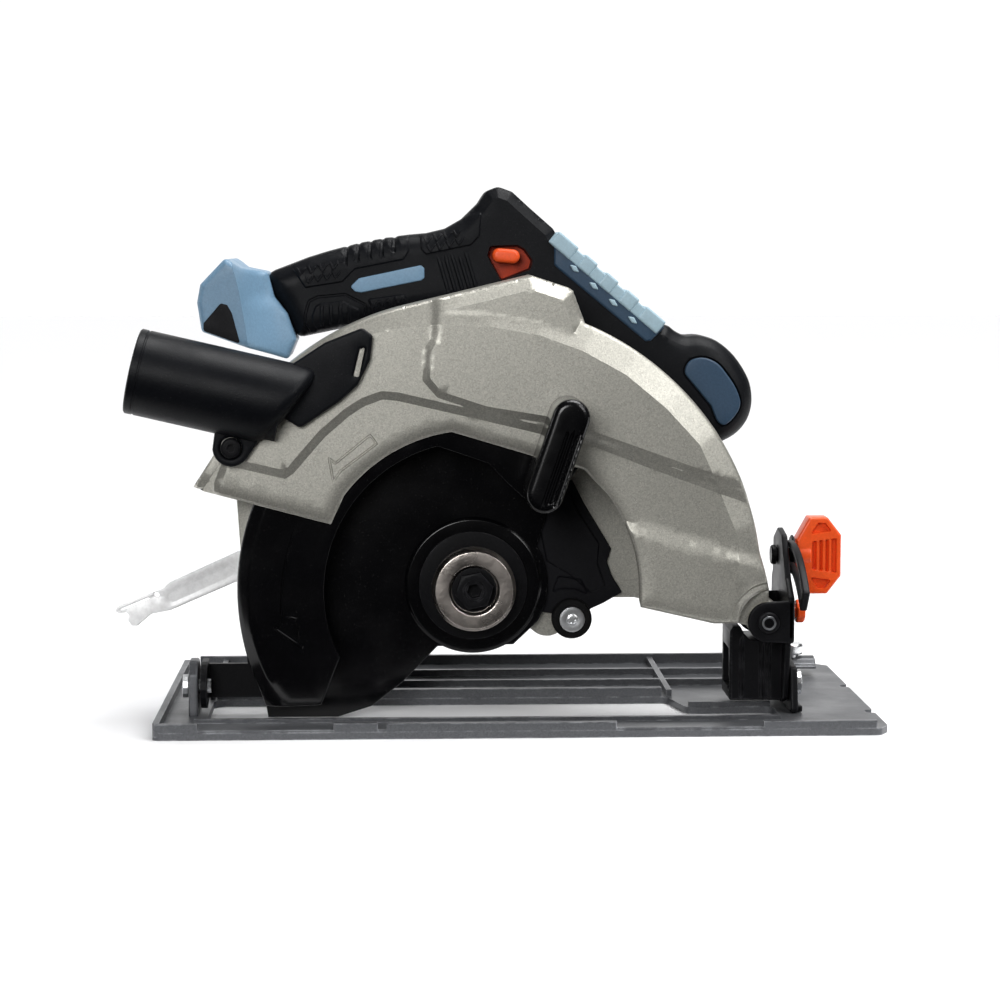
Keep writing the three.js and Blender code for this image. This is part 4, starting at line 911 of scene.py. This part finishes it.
def handle_surface(p, edge):
    """Depth below the handle's side plane: rounded edges, grip pads, ribs, marks and recesses."""
    grip = 1 - straight(p[:, 0], -30, -8)
    knob = straight(p[:, 0], 60, 74)
    nose = (1 - grip) * (1 - knob)
    bevel = np.maximum(0, 4.4 - edge) * 0.95 + fillet(edge, 0.8)
    d = fillet(edge, 8.5) * grip + bevel * nose + fillet(edge, 9.5) * knob
    for pad in (PAD_REAR, PAD_TOP, PAD_LOW):
        d -= 0.8 * raised(p, pad, 0.7)
    d -= 0.7 * raised(p, RING_INSIDE, 0.6)
    d += 0.6 * (1 - straight(distance(p, RING, True), 0.25, 0.7))
    for rib in RIBS:
        d += 0.9 * (1 - straight(distance(p, rib), 0.4, 1.2))
    for rib in SIDE_RIBS + RING_RIBS:
        d -= 0.6 * (1 - straight(distance(p, rib), 0.4, 0.9))
    for mark in MARKS:
        d -= 0.45 * (1 - straight(distance(p, mark), 0.22, 0.55))
    d += 8.0 * raised(p, WINDOW, 0.8)
    d += 0.9 * (1 - straight(distance(p, KNOB_PANEL, True), 0.3, 0.9))
    return d


handle_rows = [(HANDLE, True, fillet_rows(9.0) + [0.4, -0.4, 4.4, -4.4], 2.2)]
handle_rows += [(pad, True, [0, 0.7, -0.7], 1.2) for pad in (PAD_REAR, PAD_TOP, PAD_LOW, RING_INSIDE)]
handle_rows += [(RING, True, [0, 0.25, -0.25, 0.7, -0.7], 1.2), (WINDOW, True, [0, 0.8, -0.8], 1.0),
    (KNOB_PANEL, True, [0.3, -0.3, 0.9, -0.9], 1.4)]
handle_rows += [(rib, False, [0, 0.4, -0.4, 1.2, -1.2], 1.4) for rib in RIBS]
handle_rows += [(rib, False, [0, 0.4, -0.4, 0.9, -0.9], 1.4) for rib in SIDE_RIBS + RING_RIBS]
handle_rows += [(mark, False, [0, 0.22, -0.22, 0.55, -0.55], 0.6) for mark in MARKS]
handle = relief("handle_near_shell", HANDLE, lambda p, d: handle_surface(p, d) - HANDLE_HALF,
    lambda p, d: -0.12 - 0.5 * (1 - straight(d, 0, 0.5)), "black_plastic", "saw_body", rows=handle_rows,
    spacing=3.5, step=2.0, replaces=("handle_near",), sharp=30)
mirrored(handle, "handle_far_shell", ("handle_far",))
panel = plate("knob_panel_near_pad", KNOB_PANEL, -17.0, -15.2, "deep_blue", "saw_body", 0.8, spacing=4,
    step=1.2, replaces=("knob_panel_near",))
mirrored(panel, "knob_panel_far_pad", ("knob_panel_far",))

BADGE = rounded([(-70.2, 181.4), (-66.6, 184.9), (-40.4, 190.4), (-38.9, 189.2), (-38.9, 185.0),
    (-40.2, 184.0), (-65.6, 178.9), (-68.2, 179.3)], 1.0)
plate("grip_badge_plate", BADGE, -17.3, -14.5, "steel_blue", "saw_body", 0.5, spacing=4, step=1.2,
    replaces=("grip_badge",))
# the well floor gets the darker orange, painted shade in the recess on top of its real depth
recoloured(plate("lock_off_well", WINDOW, -9.6, -8.4, "orange", "saw_body", 0.2, spacing=4), "orange_painted_shade")
plate("lock_off_button", strap((-7.2, 194.6), (-1.4, 194.1), 3.0), -18.6, 18.6, "orange", "lock_off", 1.9,
    spacing=2, step=0.8, replaces=("lock_off",))
plate("trigger_blade", rounded([(-27, 161), (-24.5, 154), (-15, 150.6), (-9, 153), (-5.8, 162), (-5.8, 178),
    (-27, 178)], 3), -7.8, 7.8, "black_plastic", "trigger", 3.0, spacing=4, replaces=("trigger",))


def cap():
    """The two-colour cap on the handle's front slope: a deep blue side, a pale band and five raised pads."""
    side = rounded([(16.1, 203.4), (16.1, 190.6), (17.4, 189.2), (55.3, 158.0), (57.6, 158.3), (63.0, 163.6),
        (63.4, 165.0)], 1.0)
    plate("cap_side", side, -17.5, 17.5, "deep_blue", "saw_body", 1.2, spacing=8, step=1.4,
        replaces=("front_grip_pad",))
    start, end = np.array((17.2, 205.4)), np.array((64.0, 165.8))
    length = float(np.linalg.norm(end - start))
    ahead = (end - start) / length
    inward = np.array((ahead[1], -ahead[0]))
    inward = inward if inward[1] < 0 else -inward

    def strip(a, b, top, bottom):
        low, high = start + ahead * a * length, start + ahead * b * length
        return [tuple(low + inward * top), tuple(high + inward * top), tuple(high + inward * bottom),
            tuple(low + inward * bottom)]

    plate("cap_band", rounded(strip(0.01, 0.99, 0.9, 6.2), 0.5), -18.0, 18.0, "ice_blue", "saw_body", 0.7,
        spacing=6, step=1.2)
    pads = ((0.02, 0.20), (0.265, 0.375), (0.455, 0.565), (0.64, 0.755), (0.82, 0.995))
    for i, (a, b) in enumerate(pads):
        plate(f"cap_pad_{i + 1}", rounded(strip(a, b, -0.2, 6.3), 0.9), -18.7, 18.7, "ice_blue", "saw_body",
            1.0, spacing=3, step=0.9)
    for i, (x, z) in enumerate(((24.8, 188.9), (33.0, 181.6), (41.3, 174.5), (49.6, 167.1))):
        for side, label in ((-1, "near"), (1, "far")):
            nub = rounded([(x - 2.4, z + 1.9), (x + 0.6, z + 1.2), (x + 2.2, z - 1.8), (x - 0.4, z - 1.0)],
                0.8)
            plate(f"cap_nub_{label}_{i + 1}", nub, *sorted((side * 17.0, side * 18.4)), "ice_blue",
                "saw_body", 0.6, spacing=2, step=0.5)


cap()


# ---------------------------------------------------------------- battery foot

FOOT = rounded([(-133.6, 175), (-132.2, 182.6), (-121.6, 193.6), (-115.4, 189.4), (-105.2, 187.6),
    (-102.2, 177), (-96.8, 170), (-93.0, 159), (-96.6, 150.6), (-131.8, 163)], 2.0)
FOOT_PANEL = rounded([(-130.9, 163.4), (-130.8, 166.6), (-123.6, 174.9), (-120.9, 174.2), (-119.0, 170.8),
    (-115.6, 157.9)], 1.2)
FOOT_RIDGE = [(-111.5, 150), (-113.4, 164.6), (-116, 179.9), (-118.6, 190.4), (-119.5, 194)]
FOOT_NECK = [(-92, 150), (-93.2, 158.5), (-98.9, 172.6), (-103.5, 178), (-105.4, 187.4), (-106, 192)]


def x_on(line, p):
    """The x of a rising line at the height of each point."""
    return np.interp(p[:, 1], [z for x, z in line], [x for x, z in line])


def foot_half_width(p, edge):
    """Half width of the foot: flat behind a crisp ridge, then curving in to the grip."""
    ridge, neck = x_on(FOOT_RIDGE, p), x_on(FOOT_NECK, p)
    along = np.clip((p[:, 0] - ridge) / (neck - ridge), 0, 1)
    behind = straight(ridge - p[:, 0], 0, 14)
    return 17.3 + 19.5 * (1 - along) ** 1.9 - 1.2 * behind - fillet(edge, 2.6)


foot_rows = [(FOOT, True, fillet_rows(2.6), 1.6), (FOOT_PANEL, True, [0.3, -0.3], 1.2),
    (FOOT_RIDGE, False, [0, 0.4, -0.4], 1.5)]
foot = relief("battery_foot_body", FOOT, lambda p, d: -foot_half_width(p, d), foot_half_width, "steel_blue",
    "saw_body", rows=foot_rows, spacing=2.5, step=1.6, replaces=("battery_foot",), sharp=40)
FOOT_SLIDE = Matrix.Translation((-0.132, 0, 0.163)) @ Matrix.Rotation(math.atan2(12.6, 35.4), 4, "Y")
carved(foot, [cutter(-12, 30, -11, 11, -4, 8, FOOT_SLIDE), cutter(-12, 12, -30, 30, 2.6, 8, FOOT_SLIDE)])
for side, name in ((-1, "near"), (1, "far")):
    relief(f"foot_panel_{name}", FOOT_PANEL,
        lambda p, d, s=side: s * (foot_half_width(p, d + 9) + 0.7 - fillet(d, 0.5)),
        lambda p, d, s=side: s * (foot_half_width(p, d + 9) - 1.6), "matte_black", "saw_body", spacing=3,
        step=1.4, rows=[(FOOT_PANEL, True, fillet_rows(0.5), 1.4)], replaces=(f"foot_insert_{name}",))


# ---------------------------------------------------------------- motor and gear housing

def motor():
    """The motor can with its side vents and ribs, and the end cap with its row of slots."""
    body = lathe("motor_can", [(32.6, 69), (32.6, -1.6), (36.4, -1.6), (36.4, 4), (35.6, 4.6), (35.6, 10),
        (36.4, 10.6), (36.4, 72), (8.4, 72), (8.4, 69)], "black_plastic", "saw_body", MOTOR, soft=0.5,
        segments=144, replaces=("motor_housing",))
    vents = []
    for i in range(11):
        x, z = polar(MOTOR, 36, 180 + i * 18)
        place = Matrix.Translation((x * MM, 0, z * MM)) @ Matrix.Rotation(math.radians(-90 - i * 18), 4, "Y")
        vents.append(cutter(-2, 2, 50, 66, -6, 6, place))
    bevelled(carved(body, vents), 0.3)
    cap = lathe("motor_end_cap", [(0, 79), (30, 79), (30, 72.3), (36.5, 72.3), (36.5, 77), (35.2, 79.6),
        (31, 82), (24, 82.9), (0, 82.9)], "black_plastic", "saw_body", MOTOR, soft=1.0, segments=144,
        replaces=("motor_cap",))
    slots = []
    for i in range(-3, 4):
        half = math.sqrt(24 * 24 - i * i * 49)
        slot = strap((MOTOR[0] - half, MOTOR[1] + i * 7), (MOTOR[0] + half, MOTOR[1] + i * 7), 1.6, 8)
        slots.append(relief("cut", slot, level(70.0), level(85.0), "steel", "saw_body", spacing=30, step=3))
    bevelled(carved(cap, slots), 0.3)
    for i in range(14):
        angle = 20 + i * 360 / 14
        if 190 < angle % 360 < 350:
            continue
        base, tip = polar(MOTOR, 35.8, angle), polar(MOTOR, 37.4, angle)
        plate(f"motor_rib_{i + 1}", strap(base, tip, 0.9, 4), 14, 46, "black_plastic", "saw_body", 0.5,
            spacing=3)


motor()


# ---------------------------------------------------------------- shoe

SHOE_PLAN = rounded([(-150, -81), (-148, -83), (146, -83), (150, -76), (150, -48.5), (146.4, -48.5),
    (146.4, -42), (150, -42), (150, 13.5), (146.4, 13.5), (146.4, 18.5), (150, 18.5), (150, 71), (138, 83),
    (-142, 83), (-150, 75)], 3)
BLADE_SLOT = rounded([(-130, -60), (109, -60), (109, -33), (72, -33), (66, -8), (-126, -8), (-130, -12)], 4)
SHOE_BARS = [(-149.5, 144, -82.6, -80.2, 4.0), (-149.2, -131.7, -82.9, -80.0, 6.6),
    (-76.8, -58.9, -82.9, -80.0, 6.6), (-55.4, 38, -82.9, -80.0, 6.4), (98, 144.4, -82.9, -80.0, 6.2),
    (-143, 138, 80.2, 82.9, 7.5), (-149.9, -147.2, -80.5, 76, 6.8), (-129, 64, -7.8, -4.4, 7),
    (-122, 108, 20, 22.5, 6), (-122, 108, 48, 50.5, 6), (-132, -129.7, -7.5, 80, 6), (66, 68.5, -7, 80, 6),
    (-134.6, 108, -62.6, -60.3, 4.8), (73, 108, -32.7, -30.2, 5.2)]


def shoe():
    """The base plate with its stepped rims and ribs, joined into one casting with rounded edges."""
    plan = relief("shoe_plate", SHOE_PLAN, level(3.0), level(0.0), "shoe_paint", "shoe", plane="XY",
        spacing=60, step=3, replaces=("shoe",), sharp=25,
        holes=[BLADE_SLOT, strap((132, 49), (132, 53), 1.2, 6)])
    bars = [cutter(x0, x1, y0, y1, 1.5, top) for x0, x1, y0, y1, top in SHOE_BARS]
    bevelled(combined(plan, bars, "UNION"), 0.6, 3)


shoe()
FENCE_TUNNEL = rounded([(43, 6.2), (59, 6.2), (58.6, 7.4), (56.4, 8), (54.8, 10.2), (51, 11.2), (47.2, 10.2),
    (45.6, 8), (43.4, 7.4)], 1.2)
plate("fence_tunnel", FENCE_TUNNEL, 119.6, 140.4, "shoe_paint", "shoe", 0.7, spacing=3, step=1.2, plane="YZ")
plate("rear_bevel_ear", rounded([(-46, 1), (-44, 20), (-40, 25.4), (-30, 25.4), (-26, 20), (-24, 1)], 3),
    -138.2, -134.4, "shoe_paint", "shoe", 0.8, spacing=4, plane="YZ",
    holes=[hole(BEVEL_PIVOT)])
lathe("fence_thumb_screw", [(0, 9), (2.9, 9), (2.9, 12), (5, 12), (5.3, 12.8), (5.3, 16), (4.6, 17),
    (0, 17)], "zinc", "shoe", (130, 51), axis="Z", soft=0.4, segments=48, replaces=("fence_screw",))


# ---------------------------------------------------------------- front bracket, bevel clamp and depth lever

RIB_PLACES = [(94.5, 33), (103, 30), (106, 30)]


def bracket():
    """The tilting front bracket: a cross plate, two ears round the depth pivot and a hollow lower block."""
    cross = rounded([(-58, 34), (-58, 53), (-48, 60), (-36, 77), (-24, 79), (-13, 74), (-12, 60), (-14, 8),
        (-26, 6), (-35, 5.5), (-44, 8), (-47, 22), (-50, 34)], 2.5)
    plate("bracket_cross_plate", cross, 111.4, 114, "black_steel", "tilt_bracket", 0.7, spacing=8,
        plane="YZ", holes=[hole(BEVEL_CLAMP, 3.3), hole(BEVEL_PIVOT)],
        replaces=("front_bracket",))
    near = rounded([*arc(DEPTH_PIVOT, 8.4, 96, 264, 20), (113.6, 34), (114, 37), (114, 50), (113.6, 52)],
        0.8)
    far = rounded([*arc(DEPTH_PIVOT, 9, 96, 264, 20), (112.4, 34), (112.4, 52)], 0.8)
    for name, outline, y0, y1 in (("near", near, -58, -55.5), ("far", far, -26.7, -24.4)):
        plate(f"bracket_ear_{name}", outline, y0, y1, "black_steel", "tilt_bracket", 0.8, spacing=4,
            holes=[hole(DEPTH_PIVOT)])
    side = rounded([(89.5, 7), (89.5, 36.6), (90.8, 38.6), (94, 38.6), (95.6, 35.4), (98, 33), (112.2, 33),
        (112.2, 7)], 1.0)
    ribs = [([(x, 9), (x, top)], False, [0, 0.5, -0.5, 0.9, -0.9], 3) for x, top in RIB_PLACES]

    def face(p, edge):
        y = -40 + fillet(edge, 0.8)
        for x, top in RIB_PLACES:
            y += 0.7 * (1 - straight(distance(p, [(x, 9), (x, top)]), 0.5, 0.9))
        return y

    body = relief("bracket_block", side, face, lambda p, d: -14 - fillet(d, 0.8), "black_steel",
        "tilt_bracket", rows=[(side, True, fillet_rows(0.8), 2)] + ribs, spacing=6)
    bore = lathe("bore", ring_profile(0, 3.4, 86, 116), "steel", "saw_body", BEVEL_PIVOT,
        axis="X", segments=32)
    carved(body, [cutter(86, 100, -36, -18, 12, 29), bore])


bracket()


def quadrant():
    """The fixed quarter plate with a curved slot for the bevel stud, and its folded foot."""
    outline = [*arc(BEVEL_PIVOT, 60.4, 42, 134, 40), *arc(BEVEL_PIVOT, 48.8, 134, 62, 30), (-12, 40),
        (-22, 24), (-46, 22), (-50, 5), (-50, 3.3), (10, 3.3), (12, 30)]
    slot = [*arc(BEVEL_PIVOT, 58.1, 70, 131, 30), *arc(BEVEL_PIVOT, 51.1, 131, 70, 30)]
    plate("bevel_quadrant_plate", rounded(outline, 2, 3), 114.3, 117.3, "black_steel", "shoe", 0.7,
        spacing=6, plane="YZ", holes=[slot, hole(BEVEL_PIVOT)],
        replaces=("bevel_quadrant",))
    plate("bevel_quadrant_foot", rounded([(-48, 3.3), (8, 3.3), (8, 6), (-48, 6)], 0.8), 116.5, 119.3,
        "black_steel", "shoe", 0.6, spacing=6, plane="YZ")


quadrant()
lathe("bevel_stud_bolt", [(0, 109), (3.6, 109), (4.2, 109.6), (4.2, 111), (2.9, 111), (2.9, 124), (0, 124)],
    "black_steel", "tilt_bracket", BEVEL_CLAMP, axis="X", segments=48, replaces=("bevel_stud",))
lathe("bevel_clamp_washer", [(3.3, 117.6), (7.8, 117.6), (8.4, 118), (8.4, 118.4), (7.8, 118.8),
    (3.3, 118.8)], "black_steel", "tilt_bracket", BEVEL_CLAMP, axis="X", segments=64,
    replaces=("bevel_washer",))
recessed_head("pivot_pin_head", DEPTH_PIVOT, -60.6, 4.4, 2.3, "black_steel", "tilt_bracket",
    ("depth_pivot_pin",), regular(DEPTH_PIVOT, 2.0, 6, 10), 0.3)
lathe("pivot_pin_shank", [(0, -58.5), (2.9, -58.5), (2.9, -22.6), (2.4, -22), (0, -22)], "black_steel",
    "tilt_bracket", DEPTH_PIVOT, segments=40)
lathe("pivot_pin_rim", ring_profile(2.1, 2.9, -60.8, -60.0), "steel", "tilt_bracket",
    DEPTH_PIVOT, soft=0.2, segments=48)


def about_stud(shape):
    """A shape given by its upper half, mirrored below the bevel stud's axis."""
    axis = BEVEL_CLAMP[1]
    return [(x, axis + up) for x, up in shape] + [(x, axis - up) for x, up in shape[::-1]]


def knob():
    """The orange paddle knob: an octagonal frame with a ribbed window and a recess at each end."""
    outline = rounded(about_stud([(119.4, 6.6), (124.8, 16.4), (132.6, 16.4), (138.5, 8.8)]), 1.0)
    window = rounded(about_stud([(126.0, 6.2), (136.6, 7.6)]), 0.8)
    axis = BEVEL_CLAMP[1]
    recess = [(125.0, 9.0), (128.4, 14.2), (131.6, 14.2), (134.6, 10.4)]
    ends = [rounded([(x, axis + s * up) for x, up in recess], 0.8) for s in (1, -1)]
    ribs = [[(128.6 + 2.6 * i, axis + s * (6.0 + 0.3 * i)) for s in (1, -1)] for i in range(3)]

    def drop(p, edge):
        d = fillet(edge, 1.0) + 2.4 * raised(p, window, 0.5) + sum(2.2 * raised(p, end, 0.5) for end in ends)
        near = np.min([distance(p, rib) for rib in ribs], axis=0)
        return np.where(near < 1.3, np.minimum(d, 0.3 + 2.1 * straight(near, 0.5, 1.2)), d)

    rows = [(outline, True, fillet_rows(1.0), 1.0)]
    rows += [(shape, True, [0, 0.5, -0.5], 0.8) for shape in (window, *ends)]
    rows += [(rib, False, [0, 0.5, -0.5, 1.2, -1.2], 0.8) for rib in ribs]
    relief("knob_wing", outline, lambda p, d: -27.4 + drop(p, d), lambda p, d: -16.6 - drop(p, d), "orange",
        "bevel_knob", rows=rows, spacing=1.8, step=0.9, replaces=("bevel_knob",))
    lathe("knob_neck", [(3.2, 118.2), (5.6, 118.2), (6.2, 119), (6.2, 125.6), (0, 127.4), (0, 124),
        (3.2, 124)], "orange", "bevel_knob", BEVEL_CLAMP, axis="X", soft=0.6, segments=72)


knob()
lathe("stop_cam", [(0, 117.7), (4.6, 117.7), (4.9, 118.2), (4.9, 120.6), (4.2, 121.4), (0, 121.4)], "orange",
    "bevel_stop", BEVEL_STOP, axis="X", soft=0.4, segments=48, replaces=("bevel_stop",))
lathe("stop_shank", ring_profile(0, 2.6, 114.3, 118), "orange", "bevel_stop", BEVEL_STOP,
    axis="X", segments=32)
plate("stop_tab", rounded([(-42, 42.2), (-31, 42.2), (-31, 47), (-42, 47)], 1.2), 117.9, 121.2, "orange",
    "bevel_stop", 0.6, spacing=3, plane="YZ")

LEVER_PLATE = rounded([(-101, 63), (-106, 66.2), (-117.8, 69.8), (-147.6, 56.4), (-150.2, 53.8),
    (-169.6, 46.2), (-170.8, 44.4), (-169.4, 43.2), (-165.4, 43.6), (-164.9, 42.2), (-165.4, 40.4),
    (-163.8, 37.9), (-161.3, 37.9), (-155.3, 43.0), (-147.0, 44.6), (-119.2, 56.6), (-110, 51.2),
    (-101, 51.6), (-98.4, 57)], 1.2)


LEVER_CHANNEL = [(-122, 61), (-146, 50.2)]


def lever_plate_front(p, edge):
    return -23.4 + fillet(edge, 0.6) + 0.5 * (1 - straight(distance(p, LEVER_CHANNEL), 2.5, 3.3))


lever = relief("depth_lever_plate", LEVER_PLATE, lever_plate_front, lambda p, d: -20.6 - fillet(d, 0.6),
    "zinc", "depth_lever", spacing=3, step=1.2, replaces=("depth_lock_lever",),
    holes=[strap((-168, 44.7), (-156.5, 49.6), 0.45, 6), arc((-152.9, 51.2), 1.1, 360, 20, 17),
           hole(DEPTH_CLAMP, 3.2)],
    rows=[(LEVER_PLATE, True, fillet_rows(0.6), 1.2),
          (strap(*LEVER_CHANNEL, 2.5), True, [0.02, -0.8, 0.8], 1.2)])
# the lever plate is recoloured near white: its zinc plating with painted glare
recoloured(lever, "zinc_painted_glare")
lathe("depth_lever_hub", ring_profile(3.2, 7.6, -23.8, -19.6), "zinc", "depth_lever",
    DEPTH_CLAMP, soft=0.4, segments=64)


# ---------------------------------------------------------------- stage, lights and camera

def sheet(name, place, size, material):
    """A flat square of the stage."""
    mesh = bpy.data.meshes.new(name)
    made = bmesh.new()
    bmesh.ops.create_grid(made, x_segments=2, y_segments=2, size=size)
    made.to_mesh(mesh)
    made.free()
    mesh.materials.append(material)
    square = scene_object(name, mesh)
    square.location = place
    return square


def stage():
    """A pale floor, and a black flag low in front that only reflections and bounced light meet."""
    pale = finish("floor", (0.93, 0.93, 0.94), 0.7, 0, 60, 0.005, 0.02, 300, spread=0.02)
    black = finish("flag", (0.01, 0.01, 0.01), 0.9, 0, 60, 0.005, 0.02, 300, specular=0)
    sheet("floor", (0, 0, 0), FLOOR_SIZE, pale)
    flag = sheet("flag", (0, FLAG_EDGE - FLAG_SIZE, 0.001), FLAG_SIZE, black)
    flag.visible_camera = False
    flag.visible_shadow = False


def light(name, place, target, size, energy):
    """A rectangular lamp that faces its target."""
    lamp = bpy.data.lights.new(name, "AREA")
    lamp.shape, lamp.size, lamp.size_y = "RECTANGLE", size[0], size[1]
    lamp.energy = energy
    made = scene_object(name, lamp)
    made.location = place
    made.rotation_euler = (Vector(target) - Vector(place)).to_track_quat("-Z", "Y").to_euler()


def studio():
    """White behind and above the saw, darker in front, with a soft high key light."""
    world = bpy.data.worlds.new("studio")
    world.use_nodes = True
    tree = world.node_tree
    direction = node(tree, "ShaderNodeTexCoord").outputs["Generated"]
    parts = node(tree, "ShaderNodeSeparateXYZ")
    tree.links.new(direction, parts.inputs[0])
    fade = node(tree, "ShaderNodeMapRange")
    for i, number in enumerate(WORLD_FADE):
        fade.inputs[i + 1].default_value = number
    tree.links.new(parts.outputs["Y"], fade.inputs[0])
    seen = node(tree, "ShaderNodeLightPath").outputs["Is Camera Ray"]
    brighter = node(tree, "ShaderNodeMath", operation="MAXIMUM")
    tree.links.new(fade.outputs[0], brighter.inputs[0])
    tree.links.new(seen, brighter.inputs[1])
    back = tree.nodes["Background"]
    back.inputs[0].default_value = (1.0, 1.0, 1.0, 1)
    tree.links.new(brighter.outputs[0], back.inputs[1])
    bpy.context.scene.world = world
    bpy.context.scene.view_settings.view_transform = "Standard"
    sun = bpy.data.lights.new("top", "SUN")
    sun.energy, sun.angle = SUN_STRENGTH, math.radians(SUN_ANGLE)
    scene_object("top", sun).rotation_euler = Vector(SUN_FROM).to_track_quat("Z", "Y").to_euler()
    for name, (place, target, size, watts) in AREA_LIGHTS.items():
        light(name, place, target, size, watts)


def camera():
    """The camera in front of the blade side, a little above the saw and looking down at it."""
    data = bpy.data.cameras.new("camera")
    data.lens, data.sensor_width = CAMERA_LENS, CAMERA_SENSOR
    made = scene_object("camera", data)
    made.location = CAMERA
    made.rotation_euler = (math.radians(90 - CAMERA_DIP), 0, math.radians(CAMERA_TURN))
    bpy.context.scene.camera = made


def dress_cad_nodes():
    """Gives the CAD nodes that no piece replaces the same finishes and softly rounded edges."""
    for piece in frame["nodes"].values():
        if not piece.hide_render:
            slot = piece.data.materials[0].name.split(".")[0]
            piece.data.materials.clear()
            piece.data.materials.append(MATERIALS[slot])
            weld = piece.modifiers.new("weld", "WELD")
            weld.merge_threshold = 0.01 * MM
            bevelled(piece, 0.35)


stage()
studio()
camera()
dress_cad_nodes()
